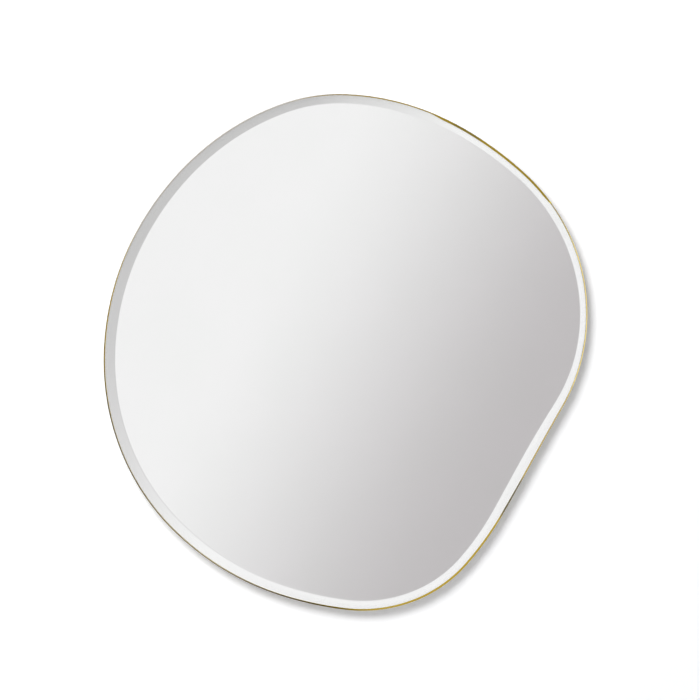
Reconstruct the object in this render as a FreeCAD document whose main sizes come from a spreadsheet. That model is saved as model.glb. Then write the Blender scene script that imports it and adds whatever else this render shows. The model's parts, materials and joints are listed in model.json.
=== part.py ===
"""Irregular wall mirror: bevelled glass in a thin brass band, hung on two keyhole plates.

Millimetres. +Z is up, +X is right as seen from the room, and the mirror faces -Y. The wall is the
plane y = 0. The origin lies on the wall, midway between the entry holes of the two keyhole plates.
"""
import FreeCAD, Part
import Sketcher
import math
import os

from functools import cache
from FreeCAD import Placement, Rotation, Vector

# Driving dimensions: name, value, meaning. All in mm, except the leans in degrees and the counts.
SIZES = (
    # The outline. Twelve stations stand around its centre like the hours on a clock. Each has its
    # reach from the centre, and its lean: how far the rim's outward direction is turned
    # anticlockwise from the line to the centre.
    ("reach_hour_1", 341.5, "reach at 1 o'clock"),
    ("reach_hour_2", 343, "reach at 2 o'clock"),
    ("reach_hour_3", 322, "reach at 3 o'clock"),
    ("reach_hour_4", 293, "reach at 4 o'clock"),
    ("reach_hour_5", 331, "reach at 5 o'clock"),
    ("reach_hour_6", 348.5, "reach at 6 o'clock"),
    ("reach_hour_7", 336.5, "reach at 7 o'clock"),
    ("reach_hour_8", 332.5, "reach at 8 o'clock"),
    ("reach_hour_9", 326, "reach at 9 o'clock"),
    ("reach_hour_10", 325.5, "reach at 10 o'clock"),
    ("reach_hour_11", 337, "reach at 11 o'clock"),
    ("reach_hour_12", 348, "reach at 12 o'clock"),
    ("lean_hour_1", -1.5, "lean at 1 o'clock"),
    ("lean_hour_2", -2, "lean at 2 o'clock"),
    ("lean_hour_3", -11.5, "lean at 3 o'clock"),
    ("lean_hour_4", 1.5, "lean at 4 o'clock"),
    ("lean_hour_5", 19, "lean at 5 o'clock"),
    ("lean_hour_6", -7, "lean at 6 o'clock"),
    ("lean_hour_7", -2, "lean at 7 o'clock"),
    ("lean_hour_8", -2, "lean at 8 o'clock"),
    ("lean_hour_9", -2, "lean at 9 o'clock"),
    ("lean_hour_10", 1.5, "lean at 10 o'clock"),
    ("lean_hour_11", 5.5, "lean at 11 o'clock"),
    ("lean_hour_12", -2, "lean at 12 o'clock"),
    ("centre_right", 4, "outline's centre, right of the middle of the hangers"),
    ("centre_drop", 190, "outline's centre, below the hangers' entry holes"),
    # The layers, from the wall to the room.
    ("board_thickness", 12, "backing board"),
    ("bond_thickness", 1, "foam bonding strips"),
    ("film_thickness", 0.2, "safety film"),
    ("silver_thickness", 0.1, "silvering with its paint"),
    ("glass_edge", 2, "what the bevel leaves of the glass at its edge"),
    ("bevel_drop", 3, "depth of the bevel"),
    ("bevel_width", 11, "width of the bevel, on average"),
    ("bevel_right", 2.4, "how far the hand-ground bevel line sits to the right"),
    ("bevel_up", 0.8, "how far the hand-ground bevel line sits upwards"),
    # The brass band and its butt seam.
    ("band_thickness", 1.5, "brass band, seen as the rim's width"),
    ("band_proud", 0.6, "band in front of the glass"),
    ("band_wall_gap", 1, "band's back edge to the wall"),
    ("rim_gap", 0.4, "glass and board edges to the band"),
    ("solder_film", 0.1, "solder between the band and what is fixed inside it"),
    ("seam_gap", 0.2, "open line where the band's two ends meet"),
    ("seam_run", 213, "seam, along the rim anticlockwise from 3 o'clock"),
    ("seam_plate_length", 36, "plate behind the seam, along the rim"),
    ("seam_plate_height", 9, "plate behind the seam, front to back"),
    ("seam_plate_thickness", 1.2, "plate behind the seam"),
    ("seam_plate_inset", 1.5, "plate behind the seam, from the board's back face"),
    # The angle tabs that hold the band to the board.
    ("tab_count", 8, "tabs around the band"),
    ("tab_run", 90, "first tab, along the rim anticlockwise from 3 o'clock"),
    ("tab_width", 20, "tab, along the rim"),
    ("tab_thickness", 1.2, "tab's sheet brass"),
    ("tab_upright", 8, "tab's leg against the band, from the board's back face"),
    ("tab_flat", 18, "tab's leg on the board, from the band"),
    ("tab_bend", 0.5, "inner radius of the tab's bend"),
    ("tab_corner", 4, "rounding of the tab's free corners"),
    ("tab_hole_inset", 8, "tab's screw, from the leg's free end"),
    # Screws and their holes.
    ("tab_head_radius", 3.5, "flat-headed tab screw"),
    ("tab_head_height", 1, "flat-headed tab screw"),
    ("head_play", 0.3, "tab screw's head to the wall"),
    ("shank_radius", 1.5, "all screws"),
    ("screw_point", 2.5, "length of a screw's pointed end"),
    ("screw_cover", 3, "board left in front of a screw's point"),
    ("pilot_play", 0.05, "shank to its hole in the board"),
    ("pilot_depth_play", 0.5, "screw's point to the floor of its hole"),
    ("hole_play", 0.25, "shank to its hole in a tab or plate"),
    ("sunk_head_radius", 3.2, "countersunk hanger screw"),
    ("sunk_play", 0.15, "countersunk head to its seat"),
    ("recess_length", 3.4, "cross recess, tip to tip"),
    ("recess_width", 0.7, "cross recess, one arm"),
    ("recess_depth", 0.7, "cross recess"),
    # The keyhole plates and the pockets behind them.
    ("hanger_spread", 320, "between the two entry holes"),
    ("hanger_width", 20, "keyhole plate"),
    ("hanger_margin", 21.5, "keyhole plate's end, from the keyhole"),
    ("hanger_screw_inset", 8, "hanger screw, from the plate's end"),
    ("entry_radius", 4.5, "round entry for a wall screw's head"),
    ("slot_radius", 2.2, "half the width of the slot for its shank"),
    ("slot_rise", 12, "entry to the top of the slot"),
    ("pocket_margin", 2, "pocket in the board, around the entry"),
    ("pocket_floor", 5, "board left in front of the pocket"),
    # Wall bumpers.
    ("bumper_count", 4, "bumpers around the back"),
    ("bumper_radius", 6, "bumper"),
    ("bumper_inset", 28, "bumper's middle, from the rim"),
    ("bumper_round", 0.8, "rounding of the bumper's edge"),
    # Bonding strips.
    ("strip_count", 5, "foam strips, side by side"),
    ("strip_width", 25, "foam strip"),
    ("strip_pitch", 110, "middle to middle of neighbouring strips"),
    ("strip_inset", 30, "strip's ends, from the rim"),
)

# Depths from the wall, as formulas on the sheet. The plates and bumpers stand off the tabs' screws.
STAND_OFF = "(sizes.tab_thickness + sizes.tab_head_height + sizes.head_play)"
BOARD_FRONT = f"({STAND_OFF} + sizes.board_thickness)"
BOND_FRONT = f"({BOARD_FRONT} + sizes.bond_thickness)"
FILM_FRONT = f"({BOND_FRONT} + sizes.film_thickness)"
GLASS_BACK = f"({FILM_FRONT} + sizes.silver_thickness)"
GLASS_LAND = f"({GLASS_BACK} + sizes.glass_edge)"
GLASS_FRONT = f"({GLASS_LAND} + sizes.bevel_drop)"
BAND_FRONT = f"({GLASS_FRONT} + sizes.band_proud)"

SCREW_END = f"({BOARD_FRONT} - sizes.screw_cover)"
PANE_INSET = "(sizes.band_thickness + sizes.rim_gap)"
FIXED_INSET = "(sizes.band_thickness + sizes.solder_film)"
SEAM_PLATE_INNER = f"({FIXED_INSET} + sizes.seam_plate_thickness)"
SEAM_PLATE_BACK = f"({STAND_OFF} + sizes.seam_plate_inset)"
SEAM_PLATE_FRONT = f"({SEAM_PLATE_BACK} + sizes.seam_plate_height)"
POCKET_RADIUS = "(sizes.entry_radius + sizes.pocket_margin)"
HANGER_END = "(sizes.entry_radius + sizes.hanger_margin)"
HANGER_SCREW = f"({HANGER_END} - sizes.hanger_screw_inset)"
SCREW_HOLE = "(sizes.shank_radius + sizes.hole_play)"
SUNK_SEAT = "(sizes.sunk_head_radius + sizes.sunk_play)"

HOURS = 12
HOUR_TURN = 360 / HOURS
STRAIGHT = 1e-6  # an arc that bulges less than this is drawn as a line
CUT_SPARE = 2  # how far a cutting tool runs past what it cuts

doc = FreeCAD.newDocument("irregular_mirror")
sheet = doc.addObject("Spreadsheet::Sheet", "sizes")
nodes = []


# ------------------------------------------------------------------ the sheet and its formulas
def fill_sheet():
    """Write every driving dimension to the sheet, one row each."""
    for row, (name, value, meaning) in enumerate(SIZES, start=1):
        sheet.set(f"A{row}", meaning)
        sheet.set(f"B{row}", str(value))
        sheet.setAlias(f"B{row}", name)
    doc.recompute()


def number(formula):
    """The value of a formula on the sheet."""
    return float(sheet.evalExpression(formula))


def size(name):
    """The value of one driving dimension."""
    return number(f"sizes.{name}")


def bind(thing, **formulas):
    """Tie properties of an object to formulas on the sheet."""
    for prop, formula in formulas.items():
        thing.setExpression(prop, formula)


def set_depth(thing, formula):
    """Keep an object's own origin at a depth in front of the wall."""
    thing.setExpression("Placement.Base.y", f"-{formula}")


def keep_node(thing, label):
    """Name a finished sub-part and list it for export."""
    thing.Label = label
    nodes.append(thing)
    return thing


# ------------------------------------------------------------------ the outline
def outline_centre():
    """The point that the reaches are measured from, on the wall."""
    return Vector(size("centre_right"), 0, -size("centre_drop"))


def station(hour):
    """Point and outward direction of the rim at an hour of the clock."""
    ray = math.radians(90 - HOUR_TURN * hour)
    reach = size(f"reach_hour_{hour}")
    out = ray + math.radians(size(f"lean_hour_{hour}"))
    point = outline_centre() + Vector(math.cos(ray), 0, math.sin(ray)) * reach
    return point, Vector(math.cos(out), 0, math.sin(out))


def turned_left(direction):
    """A direction on the wall turned a quarter anticlockwise, seen from the room."""
    return Vector(-direction.z, 0, direction.x)


def turned_right(direction):
    """A direction on the wall turned a quarter clockwise, seen from the room."""
    return Vector(direction.z, 0, -direction.x)


def arc_between(start, start_out, end, end_out):
    """Start, middle and end of an arc, each with the rim's outward direction there."""
    chord = end - start
    chord_out = turned_right(chord).normalize()
    half_turn = math.asin((start_out.cross(end_out)).dot(Vector(0, -1, 0))) / 2
    bulge = chord.Length / 2 * math.tan(half_turn / 2)
    middle = (start + end) * 0.5 + chord_out * bulge
    return (start, start_out), (middle, chord_out), (end, end_out)


def two_arcs(first, second):
    """Two tangent arcs from one station to the next, meeting halfway."""
    (start, start_out), (end, end_out) = first, second
    start_along = turned_left(start_out)
    end_along = turned_left(end_out)
    gap = end - start
    bend = 2 * (1 - start_along.dot(end_along))
    pull = 2 * gap.dot(start_along + end_along)
    square = gap.dot(gap)
    handle = 2 * square / (pull + math.sqrt(pull * pull + 4 * bend * square))
    start_handle = start + start_along * handle
    end_handle = end - end_along * handle
    meeting = (start_handle + end_handle) * 0.5
    meeting_out = turned_right(end_handle - start_handle).normalize()
    return (
        arc_between(start, start_out, meeting, meeting_out),
        arc_between(meeting, meeting_out, end, end_out),
    )


@cache
def outline_arcs():
    """All arcs of the outline, anticlockwise from 3 o'clock as seen from the room."""
    hours = [(3 - step) % HOURS or HOURS for step in range(HOURS)]
    stations = [station(hour) for hour in hours]
    arcs = []
    for index, here in enumerate(stations):
        arcs.extend(two_arcs(here, stations[(index + 1) % HOURS]))
    return arcs


def rim_edges(inset=0, drift=Vector()):
    """The outline's edges on the wall, moved in from the rim by an inset, and by a drift."""
    edges = []
    for arc in outline_arcs():
        start, middle, end = (point - out * inset + drift for point, out in arc)
        if middle.distanceToPoint((start + end) * 0.5) < STRAIGHT:
            edges.append(Part.LineSegment(start, end).toShape())
        else:
            edges.append(Part.Arc(start, middle, end).toShape())
    return edges


def rim_frame(run):
    """Placement on the rim at a run along it: local X along the rim, Y to the wall, Z outward."""
    edges = rim_edges()
    left = run % sum(edge.Length for edge in edges)
    for edge in edges:
        if left <= edge.Length:
            break
        left -= edge.Length
    where = edge.getParameterByLength(left)
    out = turned_right(edge.tangentAt(where))
    turn = math.degrees(math.atan2(out.x, out.z))
    return Placement(edge.valueAt(where), Rotation(Vector(0, 1, 0), turn))


def rim_runs(count, first):
    """Evenly spaced runs along the rim."""
    pitch = sum(edge.Length for edge in rim_edges()) / count
    return [first + pitch * index for index in range(count)]


# ------------------------------------------------------------------ solids from the outline
def outline_wire(name, inset, depth, drift=Vector()):
    """The outline as a closed wire, inset from the rim, at a depth in front of the wall."""
    wire = doc.addObject("Part::Feature", name)
    wire.Shape = Part.Wire(rim_edges(number(inset), drift))
    set_depth(wire, depth)
    return wire


def slab(name, inset, back, front):
    """A plate with the outline's shape, from one depth to another."""
    solid = doc.addObject("Part::Extrusion", name)
    solid.Base = outline_wire(f"{name}_outline", inset, back)
    solid.DirMode = "Custom"
    solid.Dir = Vector(0, -1, 0)
    solid.Solid = True
    bind(solid, LengthFwd=f"{front} - {back}")
    return solid


def joined(name, pieces):
    """Several solids fused into one."""
    whole = doc.addObject("Part::MultiFuse", name)
    whole.Shapes = pieces
    return whole


def cut(name, base, tool):
    """A solid less a tool."""
    rest = doc.addObject("Part::Cut", name)
    rest.Base = base
    rest.Tool = tool
    return rest


def common(name, first, second):
    """What two solids share."""
    shared = doc.addObject("Part::Common", name)
    shared.Base = first
    shared.Tool = second
    return shared


def block(name, x_low, x_high, back, front, z_low, z_high, place=Placement()):
    """A block between formulas: across, in depth from the wall, and up, in a local place."""
    box = doc.addObject("Part::Box", name)
    corner = Vector(number(x_low), -number(front), number(z_low))
    box.Placement = place * Placement(corner, Rotation())
    bind(box, Length=f"{x_high} - ({x_low})", Width=f"{front} - {back}")
    bind(box, Height=f"{z_high} - ({z_low})")
    return box


def rod(name, radius, back, front, point, place=Placement()):
    """A round rod square to the wall, between two depths, at a point of a local place."""
    cylinder = doc.addObject("Part::Cylinder", name)
    start = Placement(point - Vector(0, number(back), 0), Rotation(Vector(1, 0, 0), 90))
    cylinder.Placement = place * start
    bind(cylinder, Radius=radius, Height=f"{front} - {back}")
    return cylinder


# ------------------------------------------------------------------ sketched bodies
def new_body(label):
    """An empty body."""
    body = doc.addObject("PartDesign::Body", label)
    body.Label = label
    return body


def new_sketch(body, name, role):
    """A sketch on one of a body's own origin planes."""
    sketch = body.newObject("Sketcher::SketchObject", name)
    plane = next(f for f in body.Origin.OriginFeatures if f.Role == role)
    sketch.AttachmentSupport = [(plane, "")]
    sketch.MapMode = "FlatFace"
    return sketch


def pin_point(sketch, geometry, end, corner, name):
    """Hold one point of a sketch at two formulas."""
    for kind, formula in zip(("DistanceX", "DistanceY"), corner):
        held = Sketcher.Constraint(kind, -1, 1, geometry, end, number(formula))
        index = sketch.addConstraint(held)
        sketch.renameConstraint(index, f"{name}_{kind}")
        sketch.setExpression(f"Constraints.{name}_{kind}", formula)


def draw_polygon(sketch, corners):
    """A closed polygon whose corners are pairs of formulas."""
    first = sketch.GeometryCount
    points = [Vector(number(across), number(up), 0) for across, up in corners]
    for point, following in zip(points, points[1:] + points[:1]):
        sketch.addGeometry(Part.LineSegment(point, following))
    for index, corner in enumerate(corners):
        here = first + index
        following = first + (index + 1) % len(corners)
        sketch.addConstraint(Sketcher.Constraint("Coincident", here, 2, following, 1))
        pin_point(sketch, here, 1, corner, f"corner_{here}")


def draw_circle(sketch, centre, radius):
    """A circle whose centre is a pair of formulas."""
    middle = Vector(number(centre[0]), number(centre[1]), 0)
    index = sketch.addGeometry(Part.Circle(middle, Vector(0, 0, 1), number(radius)))
    pin_point(sketch, index, 3, centre, f"centre_{index}")
    held = sketch.addConstraint(Sketcher.Constraint("Radius", index, number(radius)))
    sketch.renameConstraint(held, f"radius_{index}")
    sketch.setExpression(f"Constraints.radius_{index}", radius)


def draw_upright_slot(sketch, radius, low, high):
    """A slot with round ends, upright on the sketch's own axis, between two end centres."""
    reach = number(radius)
    bottom = Vector(0, number(low), 0)
    top = Vector(0, number(high), 0)
    side = Vector(reach, 0, 0)
    axis = Vector(0, 0, 1)
    first = sketch.GeometryCount
    sketch.addGeometry(Part.ArcOfCircle(Part.Circle(top, axis, reach), 0, math.pi))
    sketch.addGeometry(Part.LineSegment(top - side, bottom - side))
    sketch.addGeometry(Part.ArcOfCircle(Part.Circle(bottom, axis, reach), math.pi, 2 * math.pi))
    sketch.addGeometry(Part.LineSegment(bottom + side, top + side))
    for here in range(4):
        joint = (first + here, 2, first + (here + 1) % 4, 1)
        sketch.addConstraint(Sketcher.Constraint("Tangent", *joint))
    pin_point(sketch, first, 3, ("0", high), f"top_{first}")
    pin_point(sketch, first + 2, 3, ("0", low), f"bottom_{first}")
    held = sketch.addConstraint(Sketcher.Constraint("Radius", first, reach))
    sketch.renameConstraint(held, f"radius_{first}")
    sketch.setExpression(f"Constraints.radius_{first}", radius)


def add_pad(body, sketch, length, both_ways=False):
    """A pad of a sketch, along its normal or half to each side."""
    pad = body.newObject("PartDesign::Pad", f"{body.Name}_pad")
    pad.Profile = sketch
    pad.SideType = "Symmetric" if both_ways else "One side"
    bind(pad, Length=length)
    doc.recompute()
    return pad


def add_pocket(body, sketch, length=None):
    """A pocket of a sketch: right through, or to a depth against the sketch's normal."""
    pocket = body.newObject("PartDesign::Pocket", f"{sketch.Name}_pocket")
    pocket.Profile = sketch
    before = body.Shape.Volume
    if length:
        pocket.Reversed = True
        bind(pocket, Length=length)
    else:
        pocket.SideType = "Symmetric"
        pocket.Type = "ThroughAll"
    doc.recompute()
    if body.Shape.Volume >= before:
        raise RuntimeError(f"{pocket.Name} cuts nothing")
    return pocket


def straight_edges(shape, direction, wanted):
    """Names of a shape's straight edges along a direction whose middle passes a test."""
    names = []
    for index, edge in enumerate(shape.Edges, start=1):
        if edge.Curve.TypeId != "Part::GeomLine":
            continue
        along = edge.Curve.Direction.dot(direction)
        if abs(along) > 1 - STRAIGHT and wanted(edge.CenterOfMass):
            names.append(f"Edge{index}")
    return names


def add_fillet(body, base, edges, radius):
    """A fillet on named edges of a body's last feature."""
    fillet = body.newObject("PartDesign::Fillet", f"{base.Name}_fillet")
    fillet.Base = (base, edges)
    bind(fillet, Radius=radius)
    doc.recompute()
    return fillet


# ------------------------------------------------------------------ screws
def screw(label, head, end):
    """A cross-head screw along local Y, its head's top at the local origin."""
    body = new_body(label)
    profile = new_sketch(body, f"{label}_profile", "XY_Plane")
    neck = f"-({end} - sizes.screw_point)"
    draw_polygon(profile, [("0", "0")] + head + [("sizes.shank_radius", neck), ("0", f"-{end}")])
    turned = body.newObject("PartDesign::Revolution", f"{label}_turned")
    turned.Profile = profile
    turned.ReferenceAxis = (profile, ["V_Axis"])
    turned.Angle = 360
    doc.recompute()
    recess = new_sketch(body, f"{label}_recess", "XZ_Plane")
    tip, arm = "sizes.recess_length / 2", "sizes.recess_width / 2"
    corners = [(tip, arm), (arm, arm), (arm, tip)]
    corners += [(f"-{arm}", tip), (f"-{arm}", arm), (f"-{tip}", arm)]
    corners += [(f"-{tip}", f"-{arm}"), (f"-{arm}", f"-{arm}"), (f"-{arm}", f"-{tip}")]
    corners += [(arm, f"-{tip}"), (arm, f"-{arm}"), (tip, f"-{arm}")]
    draw_polygon(recess, corners)
    add_pocket(body, recess, "sizes.recess_depth")
    return body


def tab_screw(label):
    """A flat-headed screw that holds a tab to the board."""
    head = [
        ("sizes.tab_head_radius", "0"),
        ("sizes.tab_head_radius", "-sizes.tab_head_height"),
        ("sizes.shank_radius", "-sizes.tab_head_height"),
    ]
    return screw(label, head, f"({SCREW_END} - sizes.head_play)")


def hanger_screw(label):
    """A countersunk screw that holds a keyhole plate to the board."""
    taper = "-(sizes.sunk_head_radius - sizes.shank_radius)"
    head = [("sizes.sunk_head_radius", "0"), ("sizes.shank_radius", taper)]
    return screw(label, head, f"({SCREW_END} - sizes.sunk_play)")


def repeat_at(label, first, places):
    """One body repeated at several places, as the separate solids of one node."""
    first.Placement = places[0]
    copies = [first]
    for index, place in enumerate(places[1:], start=2):
        copy = doc.addObject("App::Link", f"{first.Name}_{index}")
        copy.LinkedObject = first
        copy.Placement = place
        copies.append(copy)
    group = doc.addObject("Part::Compound", label)
    group.Links = copies
    keep_node(group, label)


# ------------------------------------------------------------------ the brass band
def band_place():
    """Where the band's two ends meet."""
    return rim_frame(size("seam_run"))


def build_band():
    """The brass band: the rim less its inside, open at one butt seam."""
    outer = slab("band_outer", "0", "sizes.band_wall_gap", BAND_FRONT)
    inner = slab("band_inner", "sizes.band_thickness", "0", f"({BAND_FRONT} + {CUT_SPARE})")
    ring = cut("band_ring", outer, inner)
    half = "sizes.seam_gap / 2"
    low = f"-(sizes.band_thickness + {CUT_SPARE})"
    saw = block("seam_saw", f"-{half}", half, "0", f"({BAND_FRONT} + {CUT_SPARE})", low,
                str(CUT_SPARE), band_place())
    keep_node(cut("frame_band_cut", ring, saw), "frame_band")


def seam_piece(name, outer_inset, inner_inset, half_length, back, front):
    """A curved piece that follows the rim across the seam, between two insets and two depths."""
    outer = slab(f"{name}_outer", outer_inset, back, front)
    inner = slab(f"{name}_inner", inner_inset, back, front)
    ring = cut(f"{name}_ring", outer, inner)
    reach = f"({inner_inset} + {half_length})"
    box = block(f"{name}_box", f"-{half_length}", half_length, back, front, f"-{reach}", reach,
                band_place())
    return common(name, ring, box)


def build_seam_plate():
    """The curved plate that is soldered across the seam, inside the band."""
    half_length = "(sizes.seam_plate_length / 2)"
    plate = seam_piece("seam_plate_solid", FIXED_INSET, SEAM_PLATE_INNER, half_length,
                       SEAM_PLATE_BACK, SEAM_PLATE_FRONT)
    keep_node(plate, "seam_plate")


def seam_notch():
    """The notch in the board's edge that leaves room for the seam plate."""
    inner_inset = f"({SEAM_PLATE_INNER} + sizes.rim_gap)"
    half_length = "(sizes.seam_plate_length / 2 + sizes.rim_gap)"
    front = f"({SEAM_PLATE_FRONT} + sizes.rim_gap)"
    return seam_piece("seam_notch", "0", inner_inset, half_length, "0", front)


def tab_seat(run):
    """How far in a flat tab sits, so that its ends just clear the curved band."""
    half = size("tab_width") / 2
    middle = rim_frame(run)
    inside = middle.inverse()
    ends = [inside * rim_frame(run + side * half).Base for side in (-1, 1)]
    dip = max(0, *(-end.z for end in ends))
    return size("band_thickness") + size("solder_film") + dip


def tab_place(run):
    """Where a tab's outer face touches the solder, with its local origin on the wall."""
    return rim_frame(run) * Placement(Vector(0, 0, -tab_seat(run)), Rotation())


def build_tab(label, place):
    """One angle tab: an upright leg behind the band and a flat leg on the board."""
    body = new_body(label)
    profile = new_sketch(body, f"{label}_profile", "YZ_Plane")
    top = f"-({STAND_OFF} - sizes.tab_thickness)"
    under = f"-{STAND_OFF}"
    foot = f"-({STAND_OFF} + sizes.tab_upright)"
    inner = "-sizes.tab_thickness"
    end = "-sizes.tab_flat"
    draw_polygon(profile, [(top, "0"), (foot, "0"), (foot, inner), (under, inner), (under, end),
                           (top, end)])
    pad = add_pad(body, profile, "sizes.tab_width", both_ways=True)
    depth, low = number(under), number(inner)
    bend = straight_edges(pad.Shape, Vector(1, 0, 0),
                          lambda p: abs(p.y - depth) < STRAIGHT and abs(p.z - low) < STRAIGHT)
    bent = add_fillet(body, pad, bend, "sizes.tab_bend")
    heel_depth = number(top)
    heel = straight_edges(bent.Shape, Vector(1, 0, 0),
                          lambda p: abs(p.y - heel_depth) < STRAIGHT and abs(p.z) < STRAIGHT)
    bent = add_fillet(body, bent, heel, "sizes.tab_bend + sizes.tab_thickness")
    free = number(end)
    corners = straight_edges(bent.Shape, Vector(0, 1, 0), lambda p: abs(p.z - free) < STRAIGHT)
    add_fillet(body, bent, corners, "sizes.tab_corner")
    hole = new_sketch(body, f"{label}_hole", "XZ_Plane")
    draw_circle(hole, ("0", f"{end} + sizes.tab_hole_inset"), SCREW_HOLE)
    add_pocket(body, hole)
    body.Placement = place
    keep_node(body, label)


def tab_screw_point():
    """A tab screw's axis in the tab's own place."""
    return Vector(0, 0, -size("tab_flat") + size("tab_hole_inset"))


def tab_runs():
    """The tabs' runs along the rim."""
    return rim_runs(int(size("tab_count")), size("tab_run"))


def build_tabs():
    """The tabs around the band and the screws through them."""
    head_top = tab_screw_point() - Vector(0, size("head_play"), 0)
    places = [tab_place(run) for run in tab_runs()]
    for index, place in enumerate(places, start=1):
        build_tab(f"frame_tab_{index}", place)
    screw_places = [place * Placement(head_top, Rotation()) for place in places]
    repeat_at("tab_screws", tab_screw("tab_screw"), screw_places)


# ------------------------------------------------------------------ glass, silver, film, foam
def build_glass():
    """The glass: a plate with a hand-ground bevel all round."""
    drift = Vector(size("bevel_right"), 0, size("bevel_up"))
    land = slab("glass_land", PANE_INSET, GLASS_BACK, GLASS_LAND)
    bevel = doc.addObject("Part::Loft", "glass_bevel")
    arris_inset = f"({PANE_INSET} + sizes.bevel_width)"
    bevel.Sections = [
        outline_wire("bevel_foot", PANE_INSET, GLASS_LAND),
        outline_wire("bevel_arris", arris_inset, GLASS_FRONT, drift),
    ]
    bevel.Solid = True
    bevel.Ruled = True
    keep_node(joined("mirror_glass_solid", [land, bevel]), "mirror_glass")


def build_coatings():
    """The silvering on the back of the glass and the safety film over it."""
    keep_node(slab("silver_solid", PANE_INSET, FILM_FRONT, GLASS_BACK), "silver_layer")
    keep_node(slab("film_solid", PANE_INSET, BOND_FRONT, FILM_FRONT), "safety_film")


def build_bonding_strips():
    """Upright foam strips between the board and the film, cut to follow the rim."""
    count = int(size("strip_count"))
    reach_up = f"(sizes.reach_hour_12 - sizes.centre_drop)"
    reach_down = f"-(sizes.reach_hour_6 + sizes.centre_drop)"
    for index in range(count):
        middle = f"(sizes.centre_right + ({index - (count - 1) / 2}) * sizes.strip_pitch)"
        low, high = f"({middle} - sizes.strip_width / 2)", f"({middle} + sizes.strip_width / 2)"
        box = block(f"strip_{index + 1}_box", low, high, BOARD_FRONT, BOND_FRONT, reach_down,
                    reach_up)
        zone = slab(f"strip_{index + 1}_zone", "sizes.strip_inset", BOARD_FRONT, BOND_FRONT)
        strip = common(f"strip_{index + 1}", zone, box)
        keep_node(strip, f"bonding_strip_{index + 1}")


# ------------------------------------------------------------------ hangers, bumpers, board
def hanger_places():
    """The two keyhole plates' places, by node name."""
    half = size("hanger_spread") / 2
    return {
        "hanger_left": Placement(Vector(-half, 0, 0), Rotation()),
        "hanger_right": Placement(Vector(half, 0, 0), Rotation()),
    }


def hanger_screw_heights():
    """Formulas for the heights of a plate's two screws above its entry hole."""
    return f"-{HANGER_SCREW}", f"(sizes.slot_rise + {HANGER_SCREW})"


def build_hanger(label, place):
    """A keyhole plate with a countersunk screw hole at each end."""
    body = new_body(label)
    outline = new_sketch(body, f"{label}_outline", "XZ_Plane")
    end_centre = f"({HANGER_END} - sizes.hanger_width / 2)"
    draw_upright_slot(outline, "sizes.hanger_width / 2", f"-{end_centre}",
                      f"(sizes.slot_rise + {end_centre})")
    add_pad(body, outline, STAND_OFF)
    entry = new_sketch(body, f"{label}_entry", "XZ_Plane")
    draw_circle(entry, ("0", "0"), "sizes.entry_radius")
    add_pocket(body, entry)
    slot = new_sketch(body, f"{label}_slot", "XZ_Plane")
    draw_upright_slot(slot, "sizes.slot_radius", "0", "sizes.slot_rise")
    add_pocket(body, slot)
    centres = new_sketch(body, f"{label}_screws", "XZ_Plane")
    for height in hanger_screw_heights():
        draw_circle(centres, ("0", height), SCREW_HOLE)
    doc.recompute()
    holes = body.newObject("PartDesign::Hole", f"{label}_holes")
    holes.Profile = centres
    before = body.Shape.Volume
    doc.recompute()
    holes.DepthType = "ThroughAll"
    holes.HoleCutType = "Countersink"
    holes.HoleCutCustomValues = True
    holes.HoleCutCountersinkAngle = 90
    bind(holes, Diameter=f"2 * {SCREW_HOLE}", HoleCutDiameter=f"2 * {SUNK_SEAT}")
    holes.Reversed = True
    doc.recompute()
    if body.Shape.Volume >= before:
        raise RuntimeError(f"{holes.Name} cuts nothing")
    body.Placement = place
    keep_node(body, label)


def build_hangers():
    """Both keyhole plates and their screws."""
    screw_places = []
    for label, place in hanger_places().items():
        build_hanger(label, place)
        for height in hanger_screw_heights():
            sunk = Vector(0, -size("sunk_play"), number(height))
            screw_places.append(place * Placement(sunk, Rotation()))
    repeat_at("hanger_screws", hanger_screw("hanger_screw"), screw_places)


def build_bumpers():
    """Rubber bumpers on the back, halfway between tabs."""
    tab_pitch = sum(edge.Length for edge in rim_edges()) / size("tab_count")
    first = size("tab_run") + tab_pitch / 2
    for index, run in enumerate(rim_runs(int(size("bumper_count")), first), start=1):
        label = f"bumper_{index}"
        body = new_body(label)
        foot = new_sketch(body, f"{label}_foot", "XZ_Plane")
        draw_circle(foot, ("0", "0"), "sizes.bumper_radius")
        pad = add_pad(body, foot, STAND_OFF)
        rims = [f"Edge{number}" for number, edge in enumerate(pad.Shape.Edges, start=1)
                if edge.isClosed() and abs(edge.CenterOfMass.y) < STRAIGHT]
        add_fillet(body, pad, rims, "sizes.bumper_round")
        inset = Placement(Vector(0, 0, -size("bumper_inset")), Rotation())
        body.Placement = rim_frame(run) * inset
        keep_node(body, label)


def pocket_tools():
    """What is routed out behind each keyhole."""
    depth = f"({BOARD_FRONT} - sizes.pocket_floor)"
    tools = []
    for label, place in hanger_places().items():
        ends = (Vector(), Vector(0, 0, size("slot_rise")))
        for index, point in enumerate(ends, start=1):
            tools.append(rod(f"{label}_pocket_{index}", POCKET_RADIUS, "0", depth, point, place))
        tools.append(block(f"{label}_pocket", f"-{POCKET_RADIUS}", POCKET_RADIUS, "0", depth, "0",
                           "sizes.slot_rise", place))
    return tools


def pilot_tools():
    """The holes for every screw that goes into the board."""
    spots = []
    for run in tab_runs():
        spots.append((tab_place(run), tab_screw_point()))
    for place in hanger_places().values():
        for height in hanger_screw_heights():
            spots.append((place, Vector(0, 0, number(height))))
    radius = "sizes.shank_radius + sizes.pilot_play"
    depth = f"({SCREW_END} + sizes.pilot_depth_play)"
    return [rod(f"pilot_{index}", radius, "0", depth, point, place)
            for index, (place, point) in enumerate(spots, start=1)]


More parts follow.
